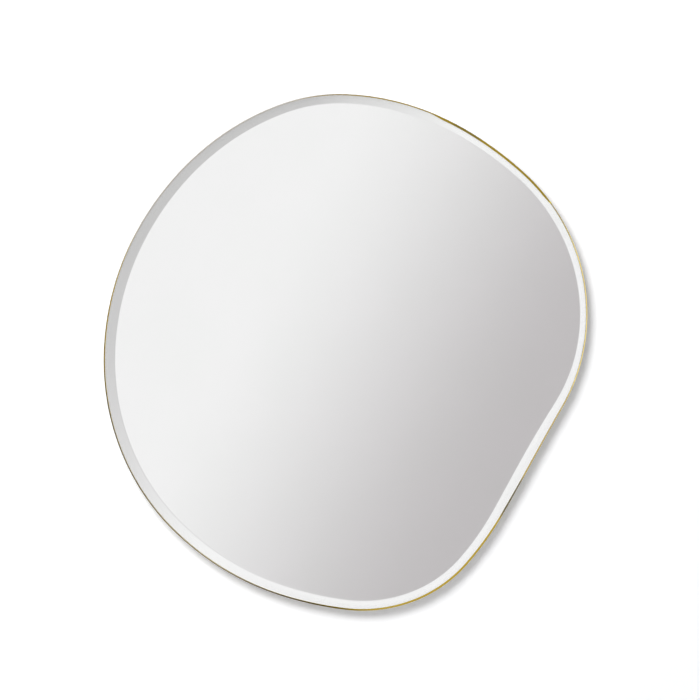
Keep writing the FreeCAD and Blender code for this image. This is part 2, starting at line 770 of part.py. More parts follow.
def tab_notches():
    """The notches in the board's edge for the tabs' upright legs."""
    half = "(sizes.tab_width / 2 + sizes.rim_gap)"
    depth = f"({STAND_OFF} + sizes.tab_upright + sizes.rim_gap)"
    floor = "-(sizes.tab_thickness + sizes.tab_bend + sizes.rim_gap)"
    notches = []
    for index, run in enumerate(tab_runs(), start=1):
        notches.append(block(f"tab_notch_{index}", f"-{half}", half, "0", depth, floor,
                             "sizes.tab_width", tab_place(run)))
    return notches


def build_board():
    """The backing board, notched, pocketed and drilled for what it carries."""
    plain = slab("board_plain", PANE_INSET, STAND_OFF, BOARD_FRONT)
    tools = pocket_tools() + pilot_tools() + tab_notches() + [seam_notch()]
    keep_node(cut("board_cut", plain, joined("board_tools", tools)), "backing_board")


# ------------------------------------------------------------------ check and export
def check_document():
    """Stop if any object failed or any sub-part has no sound solid."""
    for thing in doc.Objects:
        if {"Invalid", "Error"} & set(thing.State):
            raise RuntimeError(f"{thing.Name} failed: {thing.State}")
    for node in nodes:
        if node.Shape.isNull() or not node.Shape.isValid() or not node.Shape.Solids:
            raise RuntimeError(f"{node.Label} has no valid solid")


def export_nodes():
    """Write each sub-part to its own file."""
    os.makedirs("parts", exist_ok=True)
    for node in nodes:
        node.Shape.exportStep(f"parts/{node.Label}.step")
        box = node.Shape.BoundBox
        print(f"{node.Label}: {len(node.Shape.Solids)} solid(s), {node.Shape.Volume:.1f} mm3, "
              f"x {box.XMin:.2f} {box.XMax:.2f}, y {box.YMin:.2f} {box.YMax:.2f}, "
              f"z {box.ZMin:.2f} {box.ZMax:.2f}")


fill_sheet()
build_band()
build_seam_plate()
build_tabs()
build_glass()
build_coatings()
build_bonding_strips()
build_hangers()
build_bumpers()
build_board()
doc.recompute()
check_document()
export_nodes()
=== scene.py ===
"""The looks of the irregular wall mirror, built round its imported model.

The mirror hangs on a wall at y = 0 and faces -Y, with +X to the right and +Z up, as seen from
the room. Every size is in metres. The pieces that need rounded arrises, a prism bevel or a
moulded shape are drawn here and stand for their plain solids. The rest keep their solids and
get a finish.
"""

from __future__ import annotations

import json
import logging
import math
from dataclasses import dataclass, field
from enum import Enum
from functools import cached_property
from typing import Any, Iterable, Sequence

import bpy
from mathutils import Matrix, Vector

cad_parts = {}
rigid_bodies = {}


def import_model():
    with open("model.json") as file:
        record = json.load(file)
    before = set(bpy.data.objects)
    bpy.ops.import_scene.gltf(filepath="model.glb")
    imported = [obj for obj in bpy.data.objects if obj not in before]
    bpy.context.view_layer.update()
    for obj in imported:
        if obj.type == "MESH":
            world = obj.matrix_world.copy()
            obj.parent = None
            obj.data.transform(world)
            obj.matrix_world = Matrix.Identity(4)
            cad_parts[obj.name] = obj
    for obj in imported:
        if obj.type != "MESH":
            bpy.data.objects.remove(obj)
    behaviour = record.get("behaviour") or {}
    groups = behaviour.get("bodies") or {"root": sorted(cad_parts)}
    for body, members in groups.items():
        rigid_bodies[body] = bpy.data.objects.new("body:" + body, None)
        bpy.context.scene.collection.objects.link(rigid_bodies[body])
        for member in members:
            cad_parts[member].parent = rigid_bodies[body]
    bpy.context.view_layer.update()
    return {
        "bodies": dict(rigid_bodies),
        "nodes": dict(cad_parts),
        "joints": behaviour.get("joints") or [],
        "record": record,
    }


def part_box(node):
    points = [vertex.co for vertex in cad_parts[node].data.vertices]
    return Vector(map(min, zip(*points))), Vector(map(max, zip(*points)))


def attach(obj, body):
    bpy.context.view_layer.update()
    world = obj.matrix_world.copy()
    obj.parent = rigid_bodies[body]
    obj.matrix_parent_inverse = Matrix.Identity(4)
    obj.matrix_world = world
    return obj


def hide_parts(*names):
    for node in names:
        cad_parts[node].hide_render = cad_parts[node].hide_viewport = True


LOG = logging.getLogger("wall_mirror")
ROOT_BODY = "root"
CHART = "chart"
Colour = tuple[float, float, float]
Span = tuple[float, float]
Chart = Sequence[Span]
Socket = bpy.types.NodeSocket
NodeTree = bpy.types.NodeTree
Material = bpy.types.Material
Piece = bpy.types.Object
WHITE: Colour = (1.0, 1.0, 1.0)


# ---------------------------------------------------------------- outline


def in_wall_plane(angle: float) -> Vector:
    """The unit direction at that angle anticlockwise from +X, as seen from the room."""
    return Vector((math.cos(angle), 0, math.sin(angle)))


def turned(direction: Vector, angle: float) -> Vector:
    """The direction turned anticlockwise in the plane of the wall."""
    cos, sin = math.cos(angle), math.sin(angle)
    return Vector((direction.x * cos - direction.z * sin, 0, direction.x * sin + direction.z * cos))


@dataclass(frozen=True)
class Station:
    """One clock hour of the outline.

    reach is its distance from the outline's centre, and lean is how far its normal turns
    anticlockwise from the hour's ray, in degrees.
    """

    hour: int
    reach: float
    lean: float

    @property
    def ray(self) -> float:
        """The hour's ray, as an angle anticlockwise from 3 o'clock."""
        return math.radians(90 - 30 * self.hour)

    def place(self, centre: Vector) -> Vector:
        """Where the rim crosses the hour's ray."""
        return centre + in_wall_plane(self.ray) * self.reach

    def out(self) -> Vector:
        """The rim's outward normal there."""
        return in_wall_plane(self.ray + math.radians(self.lean))


@dataclass(frozen=True)
class RimPoint:
    """A point of the rim, with its outward normal and its run along the rim from 3 o'clock."""

    place: Vector
    out: Vector
    run: float

    def inward(self, inset: float, depth: float) -> Vector:
        """The point that far in from the rim along its normal, at that y."""
        return self.place - self.out * inset + Vector((0, depth, 0))


@dataclass(frozen=True)
class Arc:
    """One arc of the outline, given by its two ends and their outward normals."""

    start: Vector
    start_out: Vector
    end: Vector
    end_out: Vector

    @cached_property
    def turn(self) -> float:
        """How far the normal turns anticlockwise along the arc."""
        return math.asin(self.start_out.cross(self.end_out).dot(Vector((0, -1, 0))))

    @cached_property
    def radius(self) -> float:
        """The arc's radius, below 0 where the outline is hollow."""
        return (self.end - self.start).length / (2 * math.sin(self.turn / 2))

    @cached_property
    def length(self) -> float:
        """The arc's length."""
        return abs(self.radius * self.turn)

    def at(self, share: float) -> tuple[Vector, Vector]:
        """The point and the outward normal at that share of the arc."""
        out = turned(self.start_out, self.turn * share)
        return self.start + (out - self.start_out) * self.radius, out


def arc_pair(start: Vector, start_out: Vector, end: Vector, end_out: Vector) -> list[Arc]:
    """Joins two stations by two arcs that meet smoothly, with handles of one length.

    Args:
        start: the first station's point.
        start_out: its outward normal.
        end: the second station's point.
        end_out: its outward normal.

    Returns:
        The two arcs.
    """
    along_start = Vector((-start_out.z, 0, start_out.x))
    along_end = Vector((-end_out.z, 0, end_out.x))
    gap = end - start
    bend = 2 * (1 - along_start.dot(along_end))
    pull = 2 * gap.dot(along_start + along_end)
    handle = 2 * gap.dot(gap) / (pull + math.sqrt(pull * pull + 4 * bend * gap.dot(gap)))
    before, after = start + along_start * handle, end - along_end * handle
    along = (after - before).normalized()
    middle, middle_out = (before + after) / 2, Vector((along.z, 0, -along.x))
    return [Arc(start, start_out, middle, middle_out), Arc(middle, middle_out, end, end_out)]


@dataclass(frozen=True)
class Outline:
    """The mirror's irregular outline, twelve stations joined by pairs of arcs."""

    centre: Vector = Vector((0.004, 0, -0.190))
    stations: tuple[Station, ...] = (
        Station(3, 0.322, -11.5),
        Station(2, 0.343, -2.0),
        Station(1, 0.3415, -1.5),
        Station(12, 0.348, -2.0),
        Station(11, 0.337, 5.5),
        Station(10, 0.3255, 1.5),
        Station(9, 0.326, -2.0),
        Station(8, 0.3325, -2.0),
        Station(7, 0.3365, -2.0),
        Station(6, 0.3485, -7.0),
        Station(5, 0.331, 19.0),
        Station(4, 0.293, 1.5),
    )

    @cached_property
    def arcs(self) -> list[Arc]:
        """The arcs, anticlockwise from 3 o'clock.

        Returns:
            Two from each station to the next.
        """
        after = self.stations[1:] + self.stations[:1]
        return [
            arc
            for near, far in zip(self.stations, after)
            for arc in arc_pair(near.place(self.centre), near.out(), far.place(self.centre), far.out())
        ]

    @cached_property
    def length(self) -> float:
        """The whole way round the rim."""
        return sum(arc.length for arc in self.arcs)

    def at(self, run: float) -> RimPoint:
        """The rim's point at that run from 3 o'clock, anticlockwise.

        Args:
            run: how far round the rim the point lies.

        Returns:
            The rim's point.
        """
        left = run % self.length
        for arc in self.arcs:
            if left <= arc.length:
                return RimPoint(*arc.at(left / arc.length), run)
            left -= arc.length
        return RimPoint(self.arcs[-1].end, self.arcs[-1].end_out, run)

    def stretch(self, start: float, end: float, steps: int) -> list[RimPoint]:
        """Evenly spaced points of the rim from one run to another, both ends included."""
        return [self.at(start + (end - start) * i / steps) for i in range(steps + 1)]

    def loop(self, steps: int) -> list[RimPoint]:
        """Evenly spaced points of the whole rim. The last is the first again, a lap further on."""
        return self.stretch(0, self.length, steps)

    def run_beside(self, place: Vector, steps: int = 2400) -> float:
        """The run of the rim's point that lies nearest to place, as seen from the room."""
        flat = Vector((place.x, 0, place.z))
        return min(self.loop(steps), key=lambda point: (point.place - flat).length).run


@dataclass(frozen=True)
class HandWorked:
    """A size that was worked by hand and so changes round the rim: its value at each hour from 12."""

    centre: Vector
    values: tuple[float, ...]

    def at(self, place: Vector) -> float:
        """The size beside a point of the rim, on a smooth curve through the hours.

        Args:
            place: the rim's point.

        Returns:
            The size there.
        """
        count = len(self.values)
        away = place - self.centre
        hour = count * (0.25 - math.atan2(away.z, away.x) / (2 * math.pi)) % count
        share = hour % 1
        first, here, ahead, last = (self.values[(int(hour) + step) % count] for step in (-1, 0, 1, 2))
        bend = 2 * first - 5 * here + 4 * ahead - last + (3 * here - first - 3 * ahead + last) * share
        return here + share / 2 * (ahead - first + share * bend)


# ---------------------------------------------------------------- meshes


def placed(name: str, data: Any) -> Piece:
    """Puts an object with that data in the scene.

    Args:
        name: the object's name.
        data: its mesh, camera or light.

    Returns:
        The object.
    """
    made = bpy.data.objects.new(name, data)
    bpy.context.scene.collection.objects.link(made)
    return made


@dataclass
class Draft:
    """A mesh while it is drawn: its points, its faces, and each face's finish and chart."""

    points: list[Vector] = field(default_factory=list)
    faces: list[Sequence[int]] = field(default_factory=list)
    finishes: list[int] = field(default_factory=list)
    charts: list[Chart] = field(default_factory=list)

    def add_points(self, places: Iterable[Vector]) -> list[int]:
        """Adds points.

        Args:
            places: where they lie.

        Returns:
            Their numbers.
        """
        first = len(self.points)
        self.points.extend(places)
        return list(range(first, len(self.points)))

    def add_face(self, corners: Sequence[int], finish: int = 0, chart: Chart = ()) -> None:
        """Adds a face. With no chart given, its corners are charted by their x and z.

        Args:
            corners: its points' numbers.
            finish: its finish's number.
            chart: where its corners lie on the chart.
        """
        self.faces.append(corners)
        self.finishes.append(finish)
        self.charts.append(chart or [(self.points[c].x, self.points[c].z) for c in corners])

    def sweep(
        self,
        rows: Sequence[Sequence[Vector]],
        runs: Sequence[float],
        lap: bool = False,
        finishes: Sequence[int] = (),
    ) -> None:
        """Draws a closed skin through rows of points, charted by run and by girth.

        Without lap, each row closes on itself, and a face fills the first and the last. With lap,
        the rows are open and go round to the first again, and a face fills each of the two rims.

        Args:
            rows: the points of each section, as many in each.
            runs: how far along each section lies. With lap, one more, for the first again.
            lap: whether the rows go round to the first again.
            finishes: the finish of each strip round the section, then of the rim of the rows' last
                points and of their first. None means the first finish all over.
        """
        numbers = [self.add_points(row) for row in rows]
        count = len(rows[0])
        girths = [0.0]
        for i in range(count):
            girths.append(girths[-1] + (rows[0][(i + 1) % count] - rows[0][i]).length)
        ahead = numbers[1:] + numbers[:1] if lap else numbers[1:]
        for k, (near, far) in enumerate(zip(numbers, ahead)):
            for i in range(count - lap):
                j = (i + 1) % count
                places = ((k, i), (k + 1, i), (k + 1, i + 1), (k, i + 1))
                chart = [(runs[run], girths[girth]) for run, girth in places]
                self.add_face((near[i], far[i], far[j], near[j]), finishes[i] if finishes else 0, chart)
        if lap:
            ends = [row[-1] for row in numbers], [row[0] for row in numbers][::-1]
        else:
            ends = numbers[0], numbers[-1][::-1]
        for end, finish in zip(ends, finishes[-2:] or (0, 0)):
            self.add_face(end, finish)

    def piece(self, name: str, materials: Sequence[Material], sharp: float = 28) -> Piece:
        """Makes the object, with smooth faces and with creases where they turn sharply.

        Args:
            name: the object's name.
            materials: the finishes, in the order of the faces' numbers.
            sharp: the turn in degrees from which an edge is a crease.

        Returns:
            The object, in the scene.
        """
        mesh = bpy.data.meshes.new(name)
        mesh.from_pydata([tuple(p) for p in self.points], [], [tuple(f) for f in self.faces])
        chart = mesh.uv_layers.new(name=CHART)
        flat = [number for corners in self.charts for corner in corners for number in corner]
        chart.data.foreach_set("uv", flat)
        for material in materials:
            mesh.materials.append(material)
        mesh.polygons.foreach_set("material_index", self.finishes)
        mesh.shade_smooth()
        mesh.set_sharp_from_angle(angle=math.radians(sharp))
        mesh.validate()
        return placed(name, mesh)


def eased(share: float) -> float:
    """A share held between 0 and 1, that eases in and out."""
    held = min(max(share, 0), 1)
    return held * held * (3 - 2 * held)


def lean_out(lean: float) -> Vector:
    """The direction in a section, as inset and depth, that leans outward from straight ahead."""
    return Vector((-math.sin(lean), -math.cos(lean)))


@dataclass(frozen=True)
class Bend:
    """One round of a section: its middle, its radius and the leans, in degrees, that it spans.

    Leans fall along the section, which runs from the outer back corner to the front and round.
    """

    middle: Vector
    radius: float
    first: float
    last: float

    def at(self, lean: float, rise: float = 0.0) -> Vector:
        """The point at a lean in degrees, raised off the round."""
        return self.middle + lean_out(math.radians(lean)) * (self.radius + rise)

    def points(self, steps: int, guard: float = 0.0) -> list[Vector]:
        """The round's points.

        Args:
            steps: how many chords make it.
            guard: how far past its ends a further point keeps the two sides flat.

        Returns:
            The points, without the guards where guard is 0.
        """
        made = [self.at(self.first + (self.last - self.first) * i / steps) for i in range(steps + 1)]
        if not guard:
            return made
        before, after = (lean_out(math.radians(lean - 90)) * guard for lean in (self.first, self.last))
        return [made[0] - before, *made, made[-1] + after]


# ---------------------------------------------------------------- node trees


class Sheet:
    """A node tree while it is wired, of a material, a group or the world."""

    def __init__(self, tree: NodeTree) -> None:
        """Starts on an empty tree."""
        self.tree = tree
        tree.nodes.clear()

    def node(self, kind: str, **settings: Any) -> bpy.types.Node:
        """Adds a node and sets its own settings.

        Args:
            kind: the node's type.
            **settings: its settings, by their names.

        Returns:
            The node.
        """
        made = self.tree.nodes.new(kind)
        for name, value in settings.items():
            setattr(made, name, value)
        return made

    def feed(self, target: Socket, value: Any) -> None:
        """Links a socket to the target, or writes a plain value on it.

        Args:
            target: the input.
            value: the socket or the plain value.
        """
        if isinstance(value, bpy.types.NodeSocket):
            self.tree.links.new(value, target)
        elif isinstance(value, tuple) and target.type == "RGBA":
            target.default_value = (*value, 1)
        else:
            target.default_value = value

    def fill(self, inputs: Any, **values: Any) -> None:
        """Feeds several inputs by their names, in small letters and with _ for a space."""
        for name, value in values.items():
            self.feed(inputs[name.replace("_", " ").title()], value)

    def sum(self, operation: str, *terms: Any, clamp: bool = False) -> Socket:
        """A Math node's result.

        Args:
            operation: the node's operation.
            *terms: its values or sockets.
            clamp: whether the result is kept between 0 and 1.

        Returns:
            The result's socket.
        """
        made = self.node("ShaderNodeMath", operation=operation, use_clamp=clamp)
        for socket, term in zip(made.inputs, terms):
            self.feed(socket, term)
        return made.outputs[0]

    def ramp(
        self, value: Any, low: Any, high: Any, first: Any = 0.0, last: Any = 1.0, soft: bool = True
    ) -> Socket:
        """Maps a value from one range to another and holds it at the ends.

        Args:
            value: the value or socket to map.
            low: where the range starts.
            high: where it ends.
            first: the result at low.
            last: the result at high.
            soft: whether it eases in and out.

        Returns:
            The result's socket.
        """
        made = self.node("ShaderNodeMapRange", interpolation_type="SMOOTHSTEP" if soft else "LINEAR")
        self.fill(made.inputs, value=value, from_min=low, from_max=high, to_min=first, to_max=last)
        return made.outputs[0]

    def blend(self, share: Any, first: Any, last: Any) -> Socket:
        """Mixes two colours by a share between 0 and 1.

        Args:
            share: how much of the last shows.
            first: the colour at 0.
            last: the colour at 1.

        Returns:
            The colour's socket.
        """
        made = self.node("ShaderNodeMix", data_type="RGBA")
        for number, term in ((0, share), (6, first), (7, last)):
            self.feed(made.inputs[number], term)
        return made.outputs[2]

    def noise(self, place: Any, scale: Any, detail: float = 2.0) -> Socket:
        """A noise value over the surface, near a half on average.

        Args:
            place: where it is read.
            scale: how fine it is.
            detail: how many finer layers it has.

        Returns:
            The value's socket.
        """
        made = self.node("ShaderNodeTexNoise")
        self.fill(made.inputs, vector=place, scale=scale, detail=detail)
        return made.outputs[0]

    def mapped(self, place: Any, **values: Colour) -> Socket:
        """A place with its coordinates scaled or turned.

        Args:
            place: the place.
            **values: its scale or its rotation.

        Returns:
            The new place's socket.
        """
        made = self.node("ShaderNodeMapping")
        self.fill(made.inputs, vector=place, **values)
        return made.outputs[0]

    def split(self, place: Any) -> Any:
        """The x, y and z of a place or a direction.

        Args:
            place: the place or the direction.

        Returns:
            Their sockets.
        """
        made = self.node("ShaderNodeSeparateXYZ")
        self.feed(made.inputs[0], place)
        return made.outputs

    def own_place(self) -> Socket:
        """The surface's place on the piece, which is its place in the frame."""
        return self.node("ShaderNodeTexCoord").outputs["Object"]

    def own_normal(self) -> Socket:
        """The surface's normal on the piece, which is its normal in the frame."""
        return self.node("ShaderNodeTexCoord").outputs["Normal"]

    def chart(self) -> Socket:
        """The piece's chart: its run and its girth, in metres."""
        return self.node("ShaderNodeUVMap", uv_map=CHART).outputs[0]

    def effect(self, group: NodeTree, **values: Any) -> Any:
        """Places a shared effect with its own values, and gives its outputs.

        Args:
            group: the effect.
            **values: its inputs' values, by their names.

        Returns:
            Its outputs.
        """
        made = self.node("ShaderNodeGroup", node_tree=group)
        self.fill(made.inputs, **values)
        return made.outputs

    def raise_by(self, height: Any, distance: float, strength: float, base: Any = None) -> Socket:
        """A normal bumped by a height between 0 and 1.

        Args:
            height: the height's socket.
            distance: how far in metres a height of 1 stands proud.
            strength: the share of it that shows.
            base: a normal that is bumped already, if any.

        Returns:
            The normal's socket.
        """
        made = self.node("ShaderNodeBump")
        self.fill(made.inputs, height=height, distance=distance, strength=strength)
        if base is not None:
            self.feed(made.inputs["Normal"], base)
        return made.outputs[0]


def effect_group(
    name: str, starts: dict[str, float], results: Sequence[str]
) -> tuple[Sheet, Any, Any]:
    """Starts a shared effect that takes a place and some sizes, and gives some values.

    Args:
        name: the group's name.
        starts: its sizes' names and the values that they start with.
        results: its outputs' names.

    Returns:
        The sheet that it is wired on, its inputs and its outputs.
    """
    tree = bpy.data.node_groups.new(name, "ShaderNodeTree")
    tree.interface.new_socket(name="Place", in_out="INPUT", socket_type="NodeSocketVector")
    for size, value in starts.items():
        made = tree.interface.new_socket(name=size, in_out="INPUT", socket_type="NodeSocketFloat")
        made.default_value = value
    for result in results:
        tree.interface.new_socket(name=result, in_out="OUTPUT", socket_type="NodeSocketFloat")
    sheet = Sheet(tree)
    return sheet, sheet.node("NodeGroupInput").outputs, sheet.node("NodeGroupOutput").inputs


@dataclass(frozen=True)
class Effects:
    """The effects that several finishes share, each a node group that is built once."""

    deep_spacing: float = 2.7
    deep_span: Span = (0.62, 0.70)
    streak_span: Span = (0.25, 0.75)
    smudge_span: Span = (0.35, 0.65)
    speck_from: float = 0.85
    speck_edge: float = 0.05
    ragged_scale: float = 2.3

    @cached_property
    def brushing(self) -> NodeTree:
        """Fine parallel lines, as a belt or rolls leave them, with a few deeper ones.

        Returns:
            The group. Place runs along the lines in x and across them in y.
        """
        sheet, given, result = effect_group(
            "fine_brushing",
            {"Line Length": 0.03, "Line Width": 0.0003, "Deep Lines": 0.3},
            ("Streak", "Height"),
        )
        parts = sheet.split(given["Place"])
        lines = []
        for spacing in (1.0, self.deep_spacing):
            length, width = given["Line Length"], sheet.sum("MULTIPLY", given["Line Width"], spacing)
            place = sheet.node("ShaderNodeCombineXYZ")
            for target, part, size in zip(place.inputs, parts, (length, width, length)):
                sheet.feed(target, sheet.sum("DIVIDE", part, size))
            lines.append(sheet.noise(place.outputs[0], 1.0, detail=1.0))
        sunk = sheet.sum("MULTIPLY", sheet.ramp(lines[1], *self.deep_span), given["Deep Lines"])
        sheet.fill(
            result,
            streak=sheet.ramp(lines[0], *self.streak_span, soft=False),
            height=sheet.sum("SUBTRACT", lines[0], sunk),
        )
        return sheet.tree

    @cached_property
    def handling(self) -> NodeTree:
        """Soft smudges and small specks, as handling and dust leave them.

        Returns:
            The group. Smudge is a soft mask, and Speck a sparse one.
        """
        sheet, given, result = effect_group(
            "handling_marks",
            {"Smudge Size": 0.05, "Speck Size": 0.002, "Speck Share": 0.3},
            ("Smudge", "Speck"),
        )
        smudge, speck = (
            sheet.noise(given["Place"], sheet.sum("DIVIDE", 1.0, given[f"{mark} Size"]), detail)
            for mark, detail in (("Smudge", 3.0), ("Speck", 1.0))
        )
        low = sheet.sum("SUBTRACT", self.speck_from, sheet.sum("MULTIPLY", given["Speck Share"], 0.5))
        sheet.fill(
            result,
            smudge=sheet.ramp(smudge, *self.smudge_span),
            speck=sheet.ramp(speck, low, sheet.sum("ADD", low, self.speck_edge)),
        )
        return sheet.tree

    @cached_property
    def grain(self) -> NodeTree:
        """Packed cells or fibres, for board, foam, rubber, film and zinc flowers.

        Returns:
            The group. Shade differs from cell to cell, and Height domes each cell.
        """
        sheet, given, result = effect_group(
            "packed_grain", {"Cell Size": 0.001, "Raggedness": 0.3}, ("Shade", "Height")
        )
        scale = sheet.sum("DIVIDE", 1.0, given["Cell Size"])
        cells = sheet.node("ShaderNodeTexVoronoi")
        sheet.fill(cells.inputs, vector=given["Place"], scale=scale)
        ragged = sheet.noise(given["Place"], sheet.sum("MULTIPLY", scale, self.ragged_scale), detail=3.0)
        shade = sheet.node("ShaderNodeSeparateColor")
        sheet.feed(shade.inputs[0], cells.outputs["Color"])
        mixed = sheet.node("ShaderNodeMix")
        for number, term in ((0, given["Raggedness"]), (2, shade.outputs[0]), (3, ragged)):
            sheet.feed(mixed.inputs[number], term)
        dome = sheet.sum("SUBTRACT", 1.0, cells.outputs["Distance"], clamp=True)
        rough = sheet.sum("MULTIPLY", sheet.sum("SUBTRACT", ragged, 0.5), given["Raggedness"])
        sheet.fill(result, shade=mixed.outputs[0], height=sheet.sum("ADD", dome, rough))
        return sheet.tree


# ---------------------------------------------------------------- finishes


class MaterialSheet(Sheet):
    """The node tree of a new material."""

    def __init__(self, name: str) -> None:
        """Starts on a new material.

        Args:
            name: the material's name.
        """
        self.material = bpy.data.materials.new(name)
        self.material.use_nodes = True
        super().__init__(self.material.node_tree)

    def surface(self, shader: Socket) -> None:
        """Shows a shader on the surface."""
        self.feed(self.node("ShaderNodeOutputMaterial").inputs["Surface"], shader)


class Coat(MaterialSheet):
    """A material while it is wired, with its shader's inputs and the shared effects at hand."""

    def __init__(self, name: str, effects: Effects) -> None:
        """Starts on a new material with a plain shader on its surface.

        Args:
            name: the material's name.
            effects: the shared effects.
        """
        super().__init__(name)
        self.effects = effects
        made = self.node("ShaderNodeBsdfPrincipled")
        self.shader = made.inputs
        self.surface(made.outputs[0])

    def marks(self, **sizes: float) -> Any:
        """Lays handling marks over the surface, and gives their masks."""
        return self.effect(self.effects.handling, place=self.own_place(), **sizes)

    def show(self, **values: Any) -> None:
        """Feeds the shader's inputs by their names."""
        self.fill(self.shader, **values)


@dataclass(frozen=True)
class Finish:
    """What every finish has: a name, and a way to a material."""

    name: str = "plain"

    def material(self, effects: Effects) -> Material:
        """Makes the material, or returns it if it is made already.

        Args:
            effects: the shared effects.

        Returns:
            The material.
        """
        found = bpy.data.materials.get(self.name)
        if found is not None:
            return found
        coat = Coat(self.name, effects)
        self.paint(coat)
        return coat.material

    def paint(self, coat: Coat) -> None:
        """Wires the finish into the shader's inputs."""
        raise NotImplementedError


@dataclass(frozen=True)
class PaintedLightPatch:
    """A stretch of a band's front edge painted in another tone: darker for painted shade, paler for a painted
    highlight.

    run is where its middle lies, and share is how much of the tone shows there. reach is how far
    it goes each way: the tone is plain over half of it and fades over the rest.
    """

    run: float
    reach: float
    share: float
    tone: Colour


@dataclass(frozen=True)
class BrushedMetal(Finish):
    """Sheet metal with fine lines along it and handling marks over it, and patches of painted light on its
    front edge.
    """

    tone: Colour = (0.8, 0.8, 0.8)
    shaded: Colour = (0.6, 0.6, 0.6)
    roughness: float = 0.25
    spread: float = 0.08
    line_length: float = 0.03
    line_width: float = 0.0003
    line_depth: float = 0.000004
    lacquer: float = 0.0
    charted: bool = True
    painted_light_patches: tuple[PaintedLightPatch, ...] = ()
    smudge_size: float = 0.04
    streak_share: float = 0.6
    line_strength: float = 0.6
    lacquer_roughness: float = 0.08
    painted_light_facing: Span = (-0.2, -0.5)

    def paint(self, coat: Coat) -> None:
        """Wires the tone, the lines and the smudges.

        Args:
            coat: the material while it is wired.
        """
        place = coat.chart() if self.charted else coat.own_place()
        lines = coat.effect(
            coat.effects.brushing, place=place, line_length=self.line_length, line_width=self.line_width
        )
        marks = coat.marks(smudge_size=self.smudge_size)
        streak = coat.sum("MULTIPLY", lines["Streak"], self.streak_share)
        worn = coat.sum("ADD", streak, coat.sum("MULTIPLY", marks["Smudge"], 1 - self.streak_share))
        toned = coat.blend(worn, self.tone, self.shaded)
        # Painted light: patches of painted shade and painted highlight laid over the tone, on the room-facing
        # front only.
        for patch in self.painted_light_patches:
            toned = coat.blend(self.painted_light_share(coat, place, patch), toned, patch.tone)
        low, high = self.roughness - self.spread, self.roughness + self.spread
        coat.show(
            base_color=toned,
            roughness=coat.ramp(worn, 0.0, 1.0, low, high, soft=False),
            normal=coat.raise_by(lines["Height"], self.line_depth, self.line_strength),
            metallic=1.0,
            coat_weight=self.lacquer,
            coat_roughness=self.lacquer_roughness,
        )

    def painted_light_share(self, sheet: Sheet, chart: Socket, patch: PaintedLightPatch) -> Socket:
        """How much of a painted light patch shows, by the chart's run and by how far the surface faces the
        room.

        Args:
            sheet: the material's sheet.
            chart: the piece's chart.
            patch: the patch.

        Returns:
            The share's socket.
        """
        away = sheet.sum("ABSOLUTE", sheet.sum("SUBTRACT", sheet.split(chart)[0], patch.run))
        along = sheet.ramp(away, patch.reach / 2, patch.reach, patch.share, 0.0)
        facing = sheet.ramp(sheet.split(sheet.own_normal())[1], *self.painted_light_facing)
        return sheet.sum("MULTIPLY", along, facing)


@dataclass(frozen=True)
class Solder(Finish):
    """Soft solder, bright where it was wiped and dull where it flowed."""

    tone: Colour = (0.80, 0.76, 0.62)
    dull: Colour = (0.55, 0.52, 0.42)
    ripple_size: float = 0.0009
    ripple_depth: float = 0.00006
    smudge_size: float = 0.003
    roughness: Span = (0.2, 0.42)

    def paint(self, coat: Coat) -> None:
        """Wires the flow marks.

        Args:
            coat: the material while it is wired.
        """
        place = coat.own_place()
        grain = coat.effect(coat.effects.grain, place=place, cell_size=self.ripple_size, raggedness=0.6)
        marks = coat.marks(smudge_size=self.smudge_size)
        coat.show(
            base_color=coat.blend(marks["Smudge"], self.tone, self.dull),
            roughness=coat.ramp(grain["Shade"], 0.0, 1.0, *self.roughness),
            normal=coat.raise_by(grain["Height"], self.ripple_depth, 0.5),
            metallic=1.0,
        )


@dataclass(frozen=True)
class ZincPlate(Finish):
    """Bright zinc over steel, with faint flowers, rolling lines and scuffs."""

    tone: Colour = (0.72, 0.74, 0.76)
    shaded: Colour = (0.52, 0.53, 0.54)
    scuffed: Colour = (0.38, 0.38, 0.38)
    flower_size: float = 0.0035
    flower_depth: float = 0.00001
    line_length: float = 0.02
    line_width: float = 0.0004
    line_depth: float = 0.000004
    smudge_size: float = 0.012
    scuff_size: float = 0.0012
    scuff_share: float = 0.7
    roughness: float = 0.3
    smoother: float = 0.08
    rougher: float = 0.12

    def paint(self, coat: Coat) -> None:
        """Wires the flowers, the upright rolling lines and the scuffs.

        Args:
            coat: the material while it is wired.
        """
        place = coat.own_place()
        flowers = coat.effect(coat.effects.grain, place=place, cell_size=self.flower_size, raggedness=0.25)
        lines = coat.effect(
            coat.effects.brushing,
            place=coat.mapped(place, rotation=(0, math.pi / 2, 0)),
            line_length=self.line_length,
            line_width=self.line_width,
        )
        marks = coat.marks(
            smudge_size=self.smudge_size,
            speck_size=self.scuff_size,
            speck_share=0.5,
        )
        toned = coat.blend(flowers["Shade"], self.tone, self.shaded)
        worn = coat.sum("MULTIPLY", marks["Speck"], self.scuff_share)
        low, high = self.roughness - self.smoother, self.roughness + self.rougher
        flowered = coat.raise_by(flowers["Height"], self.flower_depth, 0.35)
        coat.show(
            base_color=coat.blend(worn, toned, self.scuffed),
            roughness=coat.ramp(marks["Smudge"], 0.0, 1.0, low, high),
            normal=coat.raise_by(lines["Height"], self.line_depth, 0.5, flowered),
            metallic=1.0,
        )


@dataclass(frozen=True)
class ClearGlass(Finish):
    """Clear float glass, faintly green, with its ground bevel polished again."""

    tint: Colour = (0.995, 0.997, 0.995)
    index: float = 1.5
    smudge_size: float = 0.12
    speck_roughness: float = 0.01

    def paint(self, coat: Coat) -> None:
        """Wires a trace of wiping marks into the gloss.

        Args:
            coat: the material while it is wired.
        """
        marks = coat.marks(smudge_size=self.smudge_size)
        coat.show(
            base_color=coat.blend(marks["Smudge"], WHITE, self.tint),
            roughness=coat.sum("MULTIPLY", marks["Speck"], self.speck_roughness),
            metallic=0.0,
            transmission_weight=1.0,
        )
        coat.shader["IOR"].default_value = self.index


